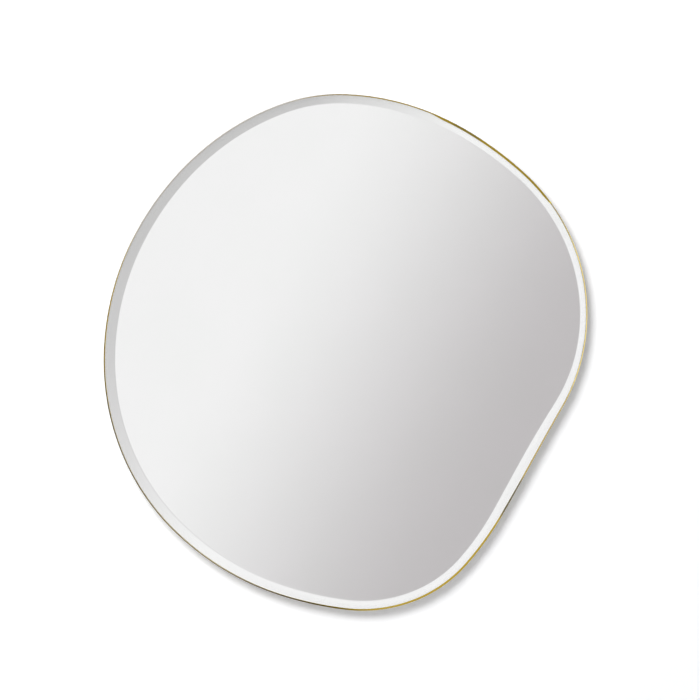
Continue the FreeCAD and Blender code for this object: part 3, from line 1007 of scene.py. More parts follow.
@dataclass(frozen=True)
class Silver(Finish):
    """Silvering seen through the glass, a very little darker in soft clouds."""

    tone: Colour = (0.965, 0.965, 0.965)
    veiled: Colour = (0.951, 0.951, 0.952)
    cloud_size: float = 0.2
    haze: float = 0.002

    def paint(self, coat: Coat) -> None:
        """Wires a faint cloudiness into the silver.

        Args:
            coat: the material while it is wired.
        """
        marks = coat.marks(smudge_size=self.cloud_size)
        coat.show(
            base_color=coat.blend(marks["Smudge"], self.tone, self.veiled),
            roughness=coat.sum("MULTIPLY", marks["Smudge"], self.haze),
            metallic=1.0,
        )


@dataclass(frozen=True)
class Grained(Finish):
    """A dull material with cells or fibres in two or three tones."""

    tone: Colour = (0.5, 0.5, 0.5)
    dark: Colour = (0.4, 0.4, 0.4)
    marked: Colour = (0.6, 0.6, 0.6)
    stretch: Colour = (1.0, 1.0, 1.0)
    cell_size: float = 0.001
    raggedness: float = 0.5
    relief: float = 0.00005
    strength: float = 0.4
    roughness: float = 0.7
    smudge_size: float = 0.06
    speck_size: float = 0.002
    speck_share: float = 0.3
    smudge_share: float = 0.35
    spread: float = 0.07

    def paint(self, coat: Coat) -> None:
        """Wires the grain, the smudges and the specks.

        Args:
            coat: the material while it is wired.
        """
        place = coat.own_place()
        grain = coat.effect(
            coat.effects.grain,
            place=coat.mapped(place, scale=self.stretch),
            cell_size=self.cell_size,
            raggedness=self.raggedness,
        )
        marks = coat.marks(
            smudge_size=self.smudge_size,
            speck_size=self.speck_size,
            speck_share=self.speck_share,
        )
        toned = coat.blend(grain["Shade"], self.tone, self.dark)
        clouded = coat.blend(coat.sum("MULTIPLY", marks["Smudge"], self.smudge_share), toned, self.marked)
        low, high = self.roughness - self.spread, self.roughness + self.spread
        coat.show(
            base_color=self.over(coat, coat.blend(marks["Speck"], clouded, self.dark)),
            roughness=coat.ramp(marks["Smudge"], 0.0, 1.0, low, high),
            normal=coat.raise_by(grain["Height"], self.relief, self.strength),
        )

    def over(self, sheet: Sheet, colour: Socket) -> Socket:
        """What a kind of this finish lays over its colour. The plain one lays nothing."""
        return colour


@dataclass(frozen=True)
class Fibreboard(Grained):
    """Fibreboard, smooth on its sanded face and darker where it was sawn or routed."""

    cut_tone: Colour = (0.24, 0.15, 0.085)
    face_depth: float = -0.0028
    face_edge: float = 0.0006
    face_turn: Span = (0.8, 0.95)
    cut_share: float = 0.6

    def over(self, sheet: Sheet, colour: Socket) -> Socket:
        """Darkens what doesn't lie in the sanded back face.

        Args:
            sheet: the material's sheet.
            colour: the colour so far.

        Returns:
            The colour with the cuts.
        """
        turn = sheet.sum("ABSOLUTE", sheet.split(sheet.own_normal())[1])
        depth = sheet.split(sheet.own_place())[1]
        outer = sheet.ramp(depth, self.face_depth - self.face_edge, self.face_depth)
        sanded = sheet.sum("MULTIPLY", sheet.ramp(turn, *self.face_turn), outer)
        return sheet.blend(sanded, sheet.blend(self.cut_share, colour, self.cut_tone), colour)


@dataclass(frozen=True)
class WovenFilm(Grained):
    """Safety film with a fine square weave pressed into it."""

    thread: float = 0.0011
    thread_share: float = 0.4

    def over(self, sheet: Sheet, colour: Socket) -> Socket:
        """Lays two sets of threads over the colour.

        Args:
            sheet: the material's sheet.
            colour: the colour so far.

        Returns:
            The colour with the weave.
        """
        sets = []
        for axis in ("X", "Z"):
            threads = sheet.node("ShaderNodeTexWave", bands_direction=axis)
            sheet.fill(threads.inputs, vector=sheet.own_place(), scale=1 / (self.thread * math.tau))
            sets.append(threads.outputs["Fac"])
        shade = sheet.sum("MAXIMUM", *sets)
        return sheet.blend(sheet.sum("MULTIPLY", shade, self.thread_share), colour, self.dark)


class Slot(Enum):
    """The record's material slots."""

    BRASS_BAND = "brass_band"
    BRASS_FITTING = "brass_fitting"
    SCREW_STEEL = "screw_steel"
    CLEAR_GLASS = "clear_glass"
    SILVERING = "silvering"
    FILM = "film"
    BONDING_FOAM = "bonding_foam"
    FIBREBOARD = "fibreboard"
    ZINC_PLATE = "zinc_plate"
    BUMPER_RUBBER = "bumper_rubber"


# Dark tone of painted shade on the band's front edge, where it reflects dark.
PAINTED_SHADE_TONE: Colour = (0.20, 0.17, 0.10)
# Paler tone of a painted highlight on the band's front edge, where it catches the light.
PAINTED_HIGHLIGHT_TONE: Colour = (0.80, 0.77, 0.73)
BAND_BRASS = BrushedMetal(
    name="brushed_band_brass",
    tone=(0.86, 0.65, 0.14),
    shaded=(0.70, 0.51, 0.09),
    roughness=0.2,
    spread=0.07,
    line_length=0.045,
    line_width=0.00022,
    lacquer=1.0,
    painted_light_patches=(
        # Painted shade on the upper right of the front edge.
        PaintedLightPatch(0.363, 0.028, 0.45, PAINTED_SHADE_TONE),
        # Painted highlight across the upper left of the front edge.
        PaintedLightPatch(0.745, 0.24, 1.0, PAINTED_HIGHLIGHT_TONE),
        # Painted shade on the lower right of the front edge.
        PaintedLightPatch(1.880, 0.038, 1.0, PAINTED_SHADE_TONE),
    ),
)
FITTING_BRASS = BrushedMetal(
    name="rolled_fitting_brass",
    tone=(0.68, 0.50, 0.23),
    shaded=(0.46, 0.32, 0.14),
    roughness=0.32,
    spread=0.1,
    line_length=0.012,
    line_width=0.0005,
    charted=False,
)
SCREW_ZINC = ZincPlate(name="zinc_plated_screw", tone=(0.74, 0.73, 0.68), flower_size=0.0012, roughness=0.26)
HANGER_ZINC = ZincPlate(name="zinc_plated_hanger")
SOLDER = Solder(name="wiped_solder")
SEAM_BRAZE = Solder(name="seam_braze", tone=(0.95, 0.78, 0.08), dull=(0.80, 0.62, 0.06))
GLASS = ClearGlass(name="float_glass")
SILVER = Silver(name="silvering")
BACK_PAINT = Grained(
    name="mirror_back_paint",
    tone=(0.30, 0.31, 0.32),
    dark=(0.24, 0.25, 0.26),
    marked=(0.35, 0.36, 0.37),
    cell_size=0.0008,
    relief=0.00001,
    roughness=0.5,
)
FILM = WovenFilm(
    name="woven_safety_film",
    tone=(0.80, 0.81, 0.82),
    dark=(0.66, 0.67, 0.69),
    marked=(0.84, 0.85, 0.86),
    cell_size=0.0012,
    relief=0.00003,
    roughness=0.45,
)
FOAM = Grained(
    name="closed_cell_foam",
    tone=(0.86, 0.85, 0.82),
    dark=(0.70, 0.69, 0.66),
    marked=(0.88, 0.87, 0.83),
    cell_size=0.0006,
    relief=0.0001,
    strength=0.7,
    roughness=0.85,
)
BOARD = Fibreboard(
    name="sanded_fibreboard",
    tone=(0.42, 0.285, 0.165),
    dark=(0.31, 0.20, 0.11),
    marked=(0.47, 0.33, 0.20),
    stretch=(0.55, 1.0, 1.6),
    cell_size=0.0011,
    raggedness=0.7,
    relief=0.00006,
    strength=0.35,
    roughness=0.78,
    smudge_size=0.09,
    speck_size=0.0016,
    speck_share=0.5,
)
RUBBER = Grained(
    name="moulded_rubber",
    tone=(0.028, 0.028, 0.030),
    dark=(0.018, 0.018, 0.019),
    marked=(0.060, 0.058, 0.055),
    cell_size=0.0005,
    relief=0.00003,
    strength=0.5,
    roughness=0.72,
    smudge_size=0.006,
    speck_size=0.0007,
    speck_share=0.4,
)
SLOT_FINISHES: dict[Slot, Finish] = {
    Slot.BRASS_BAND: BAND_BRASS,
    Slot.BRASS_FITTING: FITTING_BRASS,
    Slot.SCREW_STEEL: SCREW_ZINC,
    Slot.CLEAR_GLASS: GLASS,
    Slot.SILVERING: SILVER,
    Slot.FILM: FILM,
    Slot.BONDING_FOAM: FOAM,
    Slot.FIBREBOARD: BOARD,
    Slot.ZINC_PLATE: HANGER_ZINC,
    Slot.BUMPER_RUBBER: RUBBER,
}


# ---------------------------------------------------------------- sub-assemblies


@dataclass(frozen=True)
class SubAssembly:
    """What every sub-assembly has: the effects that its finishes share, and a way to settle a piece."""

    effects: Effects

    def settled(
        self,
        draft: Draft,
        name: str,
        slot: Slot,
        finishes: Sequence[Finish],
        node: str = "",
        sharp: float = 28,
    ) -> Piece:
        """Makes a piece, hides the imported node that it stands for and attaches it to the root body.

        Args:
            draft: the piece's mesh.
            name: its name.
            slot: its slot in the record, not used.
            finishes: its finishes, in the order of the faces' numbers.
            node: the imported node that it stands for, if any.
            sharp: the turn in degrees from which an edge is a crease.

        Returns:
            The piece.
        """
        piece = draft.piece(name, [finish.material(self.effects) for finish in finishes], sharp)
        if node:
            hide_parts(node)
        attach(piece, ROOT_BODY)
        return piece


@dataclass(frozen=True)
class BrassBand(SubAssembly):
    """The brass band bent on edge round the rim, with its two ends soldered at 2 o'clock.

    Its front edge is crowned: it leans outward, a little at the lip and more at the shoulder.
    It was filed by hand, so its breadth changes by the hour. From the seam to 1 o'clock it is
    hammered broader, over the rim of the glass.
    """

    outline: Outline
    breadths: tuple[float, ...] = (
        0.00170, 0.00160, 0.00140, 0.00130, 0.00160, 0.00300,
        0.00260, 0.00140, 0.00160, 0.00205, 0.00145, 0.00145,
    )
    thickness: float = 0.0015
    outer_inset: float = 0.00005
    front: float = -0.0214
    back: float = -0.001
    lip_lean: float = 26.0
    shoulder_lean: float = 50.0
    lip_round: float = 0.00022
    shoulder_round: float = 0.0003
    back_round: float = 0.0003
    seam_run: float = 0.213
    seam_gap: float = 0.0002
    filed_depth: float = 0.0003
    filed_above: float = 0.012
    filed_below: float = 0.05
    broadened: float = 0.0020
    broad_length: float = 0.195
    broad_fade: float = 0.012
    broad_at_seam: float = 0.4
    broad_growth: float = 0.02
    lip_depth: float = 0.0028
    bead_half_length: float = 0.0017
    bead_breadth: float = 0.0021
    bead_rise: float = 0.0008
    bead_sink: float = 0.00015
    guard: float = 0.00002
    fill_shrink: float = 0.02
    round_steps: int = 6
    steps: int = 560

    def filed(self, run: float) -> float:
        """How far in from the rim the outer face lies, filed away on either side of the seam.

        Args:
            run: the run along the rim.

        Returns:
            The outer face's inset.
        """
        above, below = run - self.seam_run, self.seam_run + self.outline.length - run
        near = min(above / self.filed_above, below / self.filed_below)
        return self.outer_inset + self.filed_depth * math.exp(-(near**2))

    def breadth(self, point: RimPoint) -> float:
        """How far in from the rim the front edge reaches at a point.

        Args:
            point: the rim's point.

        Returns:
            The lip's inset.
        """
        above = point.run - self.seam_run
        fade = eased((self.broad_length + self.broad_fade - above) / (2 * self.broad_fade))
        broad = self.broadened * fade * min(self.broad_at_seam + above / self.broad_growth, 1)
        return HandWorked(self.outline.centre, self.breadths).at(point.place) + broad * (above >= 0)

    def front_bends(self, inset: float, breadth: float) -> tuple[Bend, Bend, Bend]:
        """The shoulder, the crown and the lip of the front edge.

        Args:
            inset: how far in from the rim the outer face lies.
            breadth: how far in from the rim the lip reaches.

        Returns:
            The three bends, which run into each other smoothly.
        """
        low, high = (math.sin(math.radians(lean)) for lean in (self.lip_lean, self.shoulder_lean))
        lip = Vector((breadth - self.lip_round, self.front + self.lip_round))
        under = math.degrees(math.atan2(breadth - self.thickness, self.lip_depth))
        spare = lip.x - inset - self.shoulder_round - self.lip_round * low + self.shoulder_round * high
        radius = spare / (high - low)
        crown = lip - lean_out(math.radians(self.lip_lean)) * (radius - self.lip_round)
        shoulder = crown + lean_out(math.radians(self.shoulder_lean)) * (radius - self.shoulder_round)
        return (
            Bend(shoulder, self.shoulder_round, 90, self.shoulder_lean),
            Bend(crown, radius, self.shoulder_lean, self.lip_lean),
            Bend(lip, self.lip_round, self.lip_lean, -90 - under),
        )

    def section(self, point: RimPoint, shrink: float = 0.0) -> list[Vector]:
        """The band's section at a point of the rim.

        Args:
            point: the rim's point.
            shrink: the share by which it is drawn in towards its middle.

        Returns:
            The section's points, from the outer back corner round to it again.
        """
        inset, steps = self.filed(point.run), self.round_steps
        shoulder, crown, lip = self.front_bends(inset, self.breadth(point))
        back_middle = self.back - self.back_round
        outer_back = Bend(Vector((inset + self.back_round, back_middle)), self.back_round, 180, 90)
        inner_back = Bend(Vector((self.thickness - self.back_round, back_middle)), self.back_round, -90, -180)
        flat = [
            *outer_back.points(steps, self.guard),
            *shoulder.points(steps, self.guard)[:-1],
            *crown.points(2 * steps)[1:-1],
            *lip.points(2 * steps, self.guard)[1:],
            Vector((self.thickness, self.front + self.lip_depth)),
            *inner_back.points(steps, self.guard),
        ]
        middle = Vector(((inset + self.thickness) / 2, (self.front + self.back) / 2))
        return [point.inward(*place.lerp(middle, shrink)) for place in flat]

    def build(self) -> list[Piece]:
        """Draws the band from one end round to the other, and the solder between its ends.

        Returns:
            The band and the solder.
        """
        start = self.seam_run + self.seam_gap / 2
        end = self.seam_run + self.outline.length - self.seam_gap / 2
        points = self.outline.stretch(start, end, self.steps)
        draft = Draft()
        draft.sweep([self.section(point) for point in points], [point.run for point in points])
        band = self.settled(draft, "brass_band", Slot.BRASS_BAND, [BAND_BRASS], "frame_band")
        return [band, self.build_solder()]

    def bead(self, point: RimPoint, rise: float) -> list[Vector]:
        """A ring of the solder bead on the front edge, raised off it and sunk into it.

        Args:
            point: the rim's point.
            rise: how far the bead stands off the band there.

        Returns:
            The ring's points.
        """
        shoulder, crown, lip = self.front_bends(self.filed(self.seam_run), self.bead_breadth)
        leans = ((shoulder, 78), (shoulder, 64), (crown, 49), (crown, 41), (crown, 33), (lip, 22), (lip, 4))
        top = [bend.at(lean, rise) for bend, lean in leans]
        sunk = [bend.at(lean, -self.bead_sink) for bend, lean in leans]
        held = [Vector((max(place.x, self.outer_inset), max(place.y, self.front))) for place in top]
        return [point.inward(*place) for place in (*held, *sunk[::-1])]

    def build_solder(self) -> Piece:
        """Draws the solder that fills the seam, with the small bead left on its front.

        Returns:
            The solder's object.
        """
        draft = Draft()
        fill, rounds = self.seam_gap / 2, 2 * self.round_steps
        ends = self.outline.stretch(self.seam_run - fill, self.seam_run + fill, 2)
        draft.sweep([self.section(point, self.fill_shrink) for point in ends], [point.run for point in ends])
        reach = self.bead_half_length
        beads = self.outline.stretch(self.seam_run - reach, self.seam_run + reach, rounds)
        domes = (math.sqrt(max(1 - (2 * i / rounds - 1) ** 2, 0)) for i in range(rounds + 1))
        rises = (self.bead_rise * dome - self.bead_sink / 2 for dome in domes)
        rings = [self.bead(point, rise) for point, rise in zip(beads, rises)]
        draft.sweep(rings, [point.run for point in beads])
        return self.settled(draft, "seam_solder", Slot.BRASS_FITTING, [SEAM_BRAZE], sharp=60)


@dataclass(frozen=True)
class MirrorGlass(SubAssembly):
    """The bevelled glass and the silvering behind it.

    The line where the bevel meets the flat was ground by hand, so its inset changes by the hour.
    """

    outline: Outline
    ground_insets: tuple[float, ...] = (
        0.0120, 0.0115, 0.0100, 0.0091, 0.0138, 0.0125,
        0.0133, 0.0145, 0.0152, 0.0152, 0.0152, 0.0138,
    )
    edge_inset: float = 0.00156
    edge_front: float = -0.0178
    front: float = -0.0208
    back: float = -0.0158
    edge_chamfer: float = 0.00015
    arris_round: float = 0.0004
    film_of_air: float = 0.00002
    silver_back: float = -0.0157
    steps: int = 560

    def bevelled(self, point: RimPoint, ground_inset: float) -> list[Vector]:
        """The glass's profile at a point of the rim.

        Args:
            point: the rim's point.
            ground_inset: where the bevel meets the flat.

        Returns:
            The profile's points, from its back over its edge to the flat.
        """
        fall = (self.edge_front - self.front) / (ground_inset - self.edge_inset)
        chamfer, arris = self.edge_chamfer, self.arris_round
        profile = (
            (self.edge_inset + chamfer, self.back),
            (self.edge_inset, self.back - chamfer),
            (self.edge_inset, self.edge_front + chamfer / 2),
            (self.edge_inset + chamfer / 2, self.edge_front - fall * chamfer / 2),
            (ground_inset - arris, self.front + fall * arris),
            (ground_inset + arris, self.front),
        )
        return [point.inward(*place) for place in profile]

    def build_glass(self) -> Piece:
        """Draws the glass: its back, its edge, the bevel and the flat.

        Returns:
            The glass.
        """
        line = HandWorked(self.outline.centre, self.ground_insets)
        points = self.outline.loop(self.steps)
        rows = [self.bevelled(point, line.at(point.place)) for point in points[:-1]]
        draft = Draft()
        draft.sweep(rows, [point.run for point in points], lap=True)
        return self.settled(draft, "bevelled_glass", Slot.CLEAR_GLASS, [GLASS], "mirror_glass", sharp=5)

    def build_silver(self) -> Piece:
        """Draws the silvering, silver in front and painted at its edge and back.

        Returns:
            The silvering.
        """
        points = self.outline.loop(self.steps)
        inset, depths = self.edge_inset + self.edge_chamfer, (self.silver_back, self.back + self.film_of_air)
        rows = [[point.inward(inset, depth) for depth in depths] for point in points[:-1]]
        draft = Draft()
        draft.sweep(rows, [point.run for point in points], lap=True, finishes=(1, 0, 1))
        return self.settled(draft, "silvering", Slot.SILVERING, [SILVER, BACK_PAINT], "silver_layer")

    def build(self) -> list[Piece]:
        """Draws the glass and its silvering."""
        return [self.build_glass(), self.build_silver()]


@dataclass(frozen=True)
class WallBumpers(SubAssembly):
    """The four rubber bumpers, each a low moulded dome with a dimple and a skirt."""

    count: int = 4
    skirt: float = 0.0003
    lip_round: float = 0.0008
    dimple_radius: float = 0.0022
    dimple_depth: float = 0.0005
    sides: int = 48
    round_steps: int = 6

    def profile(self, radius: float, front: float, back: float) -> list[Span]:
        """The bumper's profile, from the board out to the wall and into its dimple.

        Args:
            radius: the bumper's radius.
            front: the y where it sits on the board.
            back: the y where it meets the wall.

        Returns:
            Pairs of distance from the bumper's middle and y.
        """
        waist = radius - self.skirt
        turns = [math.pi / 2 * i / self.round_steps for i in range(self.round_steps + 1)]
        lip = [
            (waist - self.lip_round * (1 - math.cos(turn)), back - self.lip_round * (1 - math.sin(turn)))
            for turn in turns
        ]
        bowl = [
            (self.dimple_radius * math.cos(turn), back - self.dimple_depth * math.sin(turn))
            for turn in turns[:-1]
        ]
        return [(radius, front), (radius, front + self.skirt), (waist, front + 2 * self.skirt), *lip, *bowl]

    def build(self) -> list[Piece]:
        """Turns each bumper where its solid stands.

        Returns:
            The bumpers.
        """
        made = []
        turns = [math.tau * i / self.sides for i in range(self.sides + 1)]
        for number in range(1, self.count + 1):
            node = f"bumper_{number}"
            low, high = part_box(node)
            middle, radius = (low + high) / 2, (high.x - low.x) / 2
            profile = self.profile(radius, low.y, high.y)
            rows = [
                [Vector((middle.x, y, middle.z)) + in_wall_plane(-turn) * reach for reach, y in profile]
                for turn in turns[:-1]
            ]
            draft = Draft()
            draft.sweep(rows, [radius * turn for turn in turns], lap=True)
            made.append(self.settled(draft, f"rubber_{node}", Slot.BUMPER_RUBBER, [RUBBER], node, sharp=40))
        return made


@dataclass(frozen=True)
class TabSolder(SubAssembly):
    """The solder fillets along the band's inner wall, one at each tab.

    slope is the fillet's face from its foot towards the wall, in shares of foot and of depth.
    """

    outline: Outline
    count: int = 8
    length: float = 0.021
    wall_inset: float = 0.0015
    wall_gap: float = 0.00005
    foot: float = 0.0010
    crest: float = -0.0012
    depth: float = 0.0009
    slope: tuple[Span, ...] = ((1.0, 0.45), (0.7, 0.3), (0.35, 0.12))
    fullness: float = 0.35
    least_share: float = 0.02
    beads: int = 9
    bead_swell: float = 0.08
    steps: int = 28

    def section(self, point: RimPoint, share: float, number: int) -> list[Vector]:
        """A fillet's section, thicker and thinner along it and run out at both ends.

        Args:
            point: the rim's point.
            share: how far along the fillet it lies, between 0 and 1.
            number: the tab's number, which sets where the swells lie.

        Returns:
            The section's points.
        """
        along = min(max(share, self.least_share), 1 - self.least_share)
        swell = math.sin(math.pi * along) ** self.fullness
        swell *= 1 + self.bead_swell * math.sin(self.beads * share + number)
        foot, depth, wall = self.foot * swell, self.depth * swell, self.wall_inset + self.wall_gap
        face = ((self.wall_inset + foot * out, self.crest - depth * down) for out, down in self.slope)
        return [point.inward(*place) for place in ((wall, self.crest), (wall, self.crest - depth), *face)]

    def build(self) -> list[Piece]:
        """Lays a fillet at each tab.

        Returns:
            The fillets.
        """
        made = []
        for number in range(1, self.count + 1):
            low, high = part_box(f"frame_tab_{number}")
            middle = self.outline.run_beside((low + high) / 2)
            points = self.outline.stretch(middle - self.length / 2, middle + self.length / 2, self.steps)
            rows = [self.section(point, i / self.steps, number) for i, point in enumerate(points)]
            draft = Draft()
            draft.sweep(rows, [point.run for point in points])
            name = f"tab_solder_{number}"
            made.append(self.settled(draft, name, Slot.BRASS_FITTING, [SOLDER], sharp=50))
        return made


@dataclass(frozen=True)
class CarriedNodes(SubAssembly):
    """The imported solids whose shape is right, which only get their finish."""

    frame: dict[str, Any]

    def dress(self) -> list[Piece]:
        """Gives each shown node the finish of its slot in the record.

        Returns:
            The nodes that were dressed.
        """
        dressed = []
        for row in self.frame["record"]["subparts"]:
            node = self.frame["nodes"][row["node"]]
            if node.hide_render:
                continue
            material = SLOT_FINISHES[Slot(row["material_slot"])].material(self.effects)
            for place in node.material_slots:
                place.material = material
            dressed.append(node)
        return dressed


# ---------------------------------------------------------------- studio


@dataclass(frozen=True)
class Camera:
    """The camera, square on to the mirror as in the photograph."""

    view_width: float = 0.945
    distance: float = 3.5
    axis_x: float = 0.0106
    axis_z: float = -0.1876
    front: float = -0.0214
    sensor: float = 36.0

    def build(self) -> Piece:
        """Makes the camera and looks through it.

        Returns:
            The camera.
        """
        data = bpy.data.cameras.new("front_camera")
        data.sensor_width = self.sensor
        data.lens = self.sensor * self.distance / self.view_width
        made = placed("front_camera", data)
        made.location = (self.axis_x, self.front - self.distance, self.axis_z)
        made.rotation_euler = (math.pi / 2, 0, 0)
        bpy.context.scene.camera = made
        return made


@dataclass(frozen=True)
class SoftLamp:
    """A round soft lamp, aimed at the mirror's middle and kept out of reflections."""

    name: str
    bearing: float
    tilt: float
    distance: float
    size: float
    power: float
    behind: bool = False
    target: Colour = (0.004, 0.0, -0.190)

    def build(self) -> Piece:
        """Makes the lamp.

        Returns:
            The lamp, at its bearing round the mirror's axis and tilted away from that axis.
        """
        bearing, tilt = math.radians(self.bearing), math.radians(self.tilt)
        along = Vector((0, math.cos(tilt) * (1 if self.behind else -1), 0))
        away = in_wall_plane(bearing) * math.sin(tilt) + along
        data = bpy.data.lights.new(self.name, "AREA")
        data.shape, data.size, data.energy = "DISK", self.size, self.power
        made = placed(self.name, data)
        made.location = Vector(self.target) + away * self.distance
        made.rotation_euler = away.to_track_quat("Z", "Y").to_euler()
        made.visible_camera = made.visible_glossy = made.visible_transmission = False
        return made


@dataclass(frozen=True)
class Grade:
    """A tone that changes along one direction in front of the mirror.

    bearing is the direction in degrees. start and end are slopes off the mirror's axis.
    """

    bearing: float
    start: float
    end: float
    first: Colour
    last: Colour
    soft: bool = True


@dataclass(frozen=True)
class Lobe:
    """A card beside the mirror, at a bearing in degrees and so wide to each side."""

    bearing: float
    half_width: float
    edge: float
    tone: Colour


@dataclass(frozen=True)
class StudioAir:
    """What lies round the mirror: white to the camera, a graded studio in reflections.

    Each pair is the span over which one tone gives way to the next: of the slope off the mirror's
    axis for near_edge, card_edge and room_edge, and of the direction's z and y for the other two.
    """

    ambient: float = 0.25
    backdrop: float = 1.0
    behind: Colour = (0.72, 0.72, 0.72)
    near: Grade = Grade(-29, -0.0495, 0.0778, (0.96, 0.96, 0.96), (0.568, 0.548, 0.555))
    wide: Grade = Grade(-33, 0.008, 0.1316, (0.990, 0.990, 0.990), (0.602, 0.598, 0.598), soft=False)
    near_edge: Span = (0.098, 0.136)
    card_edge: Span = (0.85, 1.25)
    room_edge: Span = (0.50, 1.0)
    room_low: Colour = (0.60, 0.60, 0.605)
    room_high: Colour = (0.97, 0.97, 0.97)
    room_heights: Span = (-0.8, 0.6)
    behind_depths: Span = (0.15, 0.5)
    least_ahead: float = 0.02
    least_off_axis: float = 0.001
    before_bounce: float = 0.5
    gap_tone: Colour = (0.04, 0.04, 0.04)
    lobes: tuple[Lobe, ...] = (
        Lobe(128, 56, 8, (0.33, 0.33, 0.33)),
        Lobe(57, 25, 8, (0.42, 0.40, 0.22)),
        Lobe(229, 12, 8, (0.16, 0.14, 0.05)),
        Lobe(309, 43, 6, (0.58, 0.55, 0.28)),
        Lobe(2, 24, 8, (1.35, 1.42, 1.70)),
        Lobe(128, 27, 8, (0.86, 0.86, 0.86)),
    )

    @staticmethod
    def slope_along(sheet: Sheet, right: Socket, up: Socket, bearing: float) -> Socket:
        """How far a direction leans towards a bearing."""
        cos, sin = math.cos(math.radians(bearing)), math.sin(math.radians(bearing))
        return sheet.sum("ADD", sheet.sum("MULTIPLY", right, cos), sheet.sum("MULTIPLY", up, sin))

    @staticmethod
    def off_axis(sheet: Sheet, right: Socket, up: Socket) -> Socket:
        """How far a direction leans off the mirror's axis, whichever way."""
        squares = (sheet.sum("MULTIPLY", side, side) for side in (right, up))
        return sheet.sum("SQRT", sheet.sum("ADD", *squares))

    def graded(self, sheet: Sheet, right: Socket, up: Socket, grade: Grade) -> Socket:
        """The colour of a grade in a direction.

        Args:
            sheet: the world's sheet.
            right: its slope to the right.
            up: its slope upward.
            grade: the grade.

        Returns:
            The colour's socket.
        """
        slope = self.slope_along(sheet, right, up, grade.bearing)
        share = sheet.ramp(slope, grade.start, grade.end, soft=grade.soft)
        return sheet.blend(share, grade.first, grade.last)

    def carded(self, sheet: Sheet, parts: Any) -> Socket:
        """The tone of the cards beside the mirror, each laid over those before it.

        Args:
            sheet: the world's sheet.
            parts: the direction's x, y and z.

        Returns:
            The tone's socket.
        """
        away = sheet.sum("MAXIMUM", self.off_axis(sheet, parts[0], parts[2]), self.least_off_axis)
        right, up = sheet.sum("DIVIDE", parts[0], away), sheet.sum("DIVIDE", parts[2], away)
        shown: Any = self.gap_tone
        for lobe in self.lobes:
            facing = self.slope_along(sheet, right, up, lobe.bearing)
            outer = math.cos(math.radians(lobe.half_width + lobe.edge))
            inner = math.cos(math.radians(max(lobe.half_width - lobe.edge, 0)))
            shown = sheet.blend(sheet.ramp(facing, outer, inner), shown, lobe.tone)
        return shown

    def build(self) -> bpy.types.World:
        """Wires the world: the ambient light, the backdrop and what reflections meet.

        Returns:
            The world.
        """
        world = bpy.data.worlds.new("soft_studio")
        world.use_nodes = True
        bpy.context.scene.world = world
        sheet = Sheet(world.node_tree)
        parts = sheet.split(sheet.node("ShaderNodeTexCoord").outputs["Generated"])
        ahead = sheet.sum("MAXIMUM", sheet.sum("MULTIPLY", parts[1], -1.0), self.least_ahead)
        right, up = sheet.sum("DIVIDE", parts[0], ahead), sheet.sum("DIVIDE", parts[2], ahead)
        off_axis = self.off_axis(sheet, right, up)
        near, wide = (self.graded(sheet, right, up, grade) for grade in (self.near, self.wide))
        front = sheet.blend(sheet.ramp(off_axis, *self.near_edge), near, wide)
        glossed = sheet.blend(sheet.ramp(off_axis, *self.card_edge), front, self.carded(sheet, parts))
        room = sheet.blend(sheet.ramp(parts[2], *self.room_heights), self.room_low, self.room_high)
        passed = sheet.blend(sheet.ramp(off_axis, *self.room_edge), front, room)
        rays = sheet.node("ShaderNodeLightPath").outputs
        ahead_seen = sheet.blend(rays["Is Transmission Ray"], glossed, passed)
        reflected = sheet.blend(sheet.ramp(parts[1], *self.behind_depths), ahead_seen, self.behind)
        polished = sheet.sum("MAXIMUM", rays["Is Glossy Ray"], rays["Is Transmission Ray"])
        undimmed = sheet.sum("LESS_THAN", rays["Diffuse Depth"], self.before_bounce)
        mirrored = sheet.sum("MULTIPLY", polished, undimmed)
        lit = sheet.blend(mirrored, (self.ambient,) * 3, reflected)
        seen = sheet.blend(rays["Is Camera Ray"], lit, (self.backdrop,) * 3)
        back = sheet.node("ShaderNodeBackground")
        sheet.feed(back.inputs["Color"], seen)
        sheet.feed(sheet.node("ShaderNodeOutputWorld").inputs["Surface"], back.outputs[0])
        return world


class StagePaint(MaterialSheet):
    """The paint of the wall or the floor: matt, lifted for the camera, and clear where it isn't shown."""

    def __init__(self, name: str) -> None:
        """Starts on a new material of that name."""
        super().__init__(name)
        self.camera_ray = self.node("ShaderNodeLightPath").outputs["Is Camera Ray"]

    def cover(self, paint: Any, lift: Any, strength: Any, shown: Any) -> Material:
        """Wires the paint and what shows of it.

        Args:
            paint: the matt paint's colour.
            lift: the colour of the light that it gives out.
            strength: how strong that light is.
            shown: how much of the paint shows. The rest is clear.

        Returns:
            The material.
        """
        matt, glow = self.node("ShaderNodeBsdfDiffuse"), self.node("ShaderNodeEmission")
        lit, cover = self.node("ShaderNodeAddShader"), self.node("ShaderNodeMixShader")
        self.fill(matt.inputs, color=paint)
        self.fill(glow.inputs, color=lift, strength=strength)
        self.feed(lit.inputs[0], matt.outputs[0])
        self.feed(lit.inputs[1], glow.outputs[0])
        self.feed(cover.inputs[0], shown)
        self.feed(cover.inputs[1], self.node("ShaderNodeBsdfTransparent").outputs[0])
        self.feed(cover.inputs[2], lit.outputs[0])
        self.surface(cover.outputs[0])
        return self.material


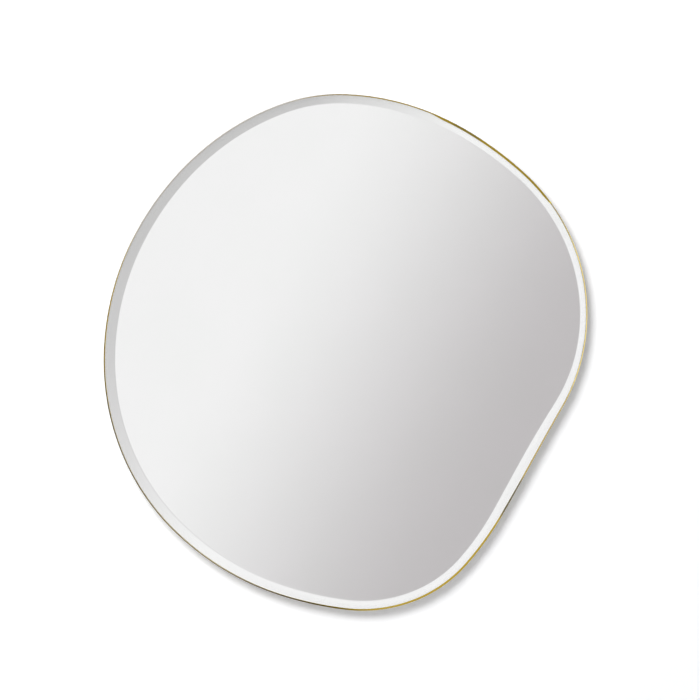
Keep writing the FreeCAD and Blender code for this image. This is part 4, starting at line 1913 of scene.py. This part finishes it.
@dataclass(frozen=True)
class Wall:
    """The white wall, seen by the camera only, and only from the room."""

    depth: float = 0.0004
    half_width: float = 3.0
    bottom: float = -1.75
    top: float = 2.2
    paint: Colour = (0.90, 0.90, 0.90)
    lift: Colour = (0.195, 0.200, 0.218)

    def build(self) -> Piece:
        """Draws the wall and wires its paint.

        Returns:
            The wall.
        """
        draft = Draft()
        corners = ((-1, self.bottom), (1, self.bottom), (1, self.top), (-1, self.top))
        places = (Vector((side * self.half_width, self.depth, z)) for side, z in corners)
        draft.add_face(draft.add_points(places))
        sheet = StagePaint("wall_paint")
        front = sheet.sum("SUBTRACT", 1.0, sheet.node("ShaderNodeNewGeometry").outputs["Backfacing"])
        shown = sheet.sum("MULTIPLY", sheet.camera_ray, front)
        wall = draft.piece("white_wall", [sheet.cover(self.paint, self.lift, 1.0, shown)])
        return wall


@dataclass(frozen=True)
class Floor:
    """The plain pale floor, faintly mottled and fading out towards its rim."""

    level: float = -1.75
    radius: float = 6.0
    fade: float = 1.5
    paint: Colour = (0.86, 0.86, 0.855)
    dimmed: float = 0.97
    mottle_scale: float = 3.0
    mottle_span: Span = (0.3, 0.7)
    lift: float = 0.36
    sides: int = 96

    def build(self) -> Piece:
        """Draws the floor and wires its paint.

        Returns:
            The floor.
        """
        draft = Draft()
        rim = (in_wall_plane(math.tau * i / self.sides) * self.radius for i in range(self.sides))
        draft.add_face(draft.add_points(Vector((p.x, p.z, self.level)) for p in rim))
        sheet = StagePaint("floor_paint")
        mottle = sheet.ramp(sheet.noise(sheet.own_place(), self.mottle_scale), *self.mottle_span)
        paint = sheet.blend(mottle, self.paint, tuple(self.dimmed * tone for tone in self.paint))
        reach = sheet.node("ShaderNodeVectorMath", operation="LENGTH")
        sheet.feed(reach.inputs[0], sheet.mapped(sheet.own_place(), scale=(1, 1, 0)))
        shown = sheet.ramp(reach.outputs["Value"], self.radius - self.fade, self.radius, 1.0, 0.0)
        strength = sheet.sum("MULTIPLY", sheet.camera_ray, self.lift)
        floor = draft.piece("pale_floor", [sheet.cover(paint, WHITE, strength, shown)])
        floor.visible_glossy = False
        return floor


@dataclass(frozen=True)
class Studio:
    """The plain soft studio that the mirror is shown in."""

    camera: Camera = Camera()
    air: StudioAir = StudioAir()
    wall: Wall = Wall()
    floor: Floor = Floor()
    lamps: tuple[SoftLamp, ...] = (
        SoftLamp("key_lamp", bearing=124.5, tilt=32.5, distance=3.0, size=1.6, power=82),
        SoftLamp("back_lamp", bearing=120, tilt=35, distance=3.0, size=1.4, power=62, behind=True),
    )

    def build(self) -> None:
        """Sets up the view transform, the camera, the lamps, the air, the wall and the floor."""
        bpy.context.scene.view_settings.view_transform = "Standard"
        self.camera.build()
        self.air.build()
        self.wall.build()
        self.floor.build()
        for lamp in self.lamps:
            lamp.build()


def main() -> None:
    """Loads the frame and builds each sub-assembly round it, in order."""
    logging.basicConfig(level=logging.INFO, format="%(name)s: %(message)s")
    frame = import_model()
    effects = Effects()
    outline = Outline()
    assemblies = (
        BrassBand(effects, outline),
        MirrorGlass(effects, outline),
        WallBumpers(effects),
        TabSolder(effects, outline),
    )
    for assembly in assemblies:
        for piece in assembly.build():
            LOG.info("%s: %s has %d faces", type(assembly).__name__, piece.name, len(piece.data.polygons))
    for node in CarriedNodes(effects, frame).dress():
        LOG.info("carried over: %s", node.name)
    Studio().build()
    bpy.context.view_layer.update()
    LOG.info("the outline is %.4f m round", outline.length)


if __name__ == "__main__":
    main()
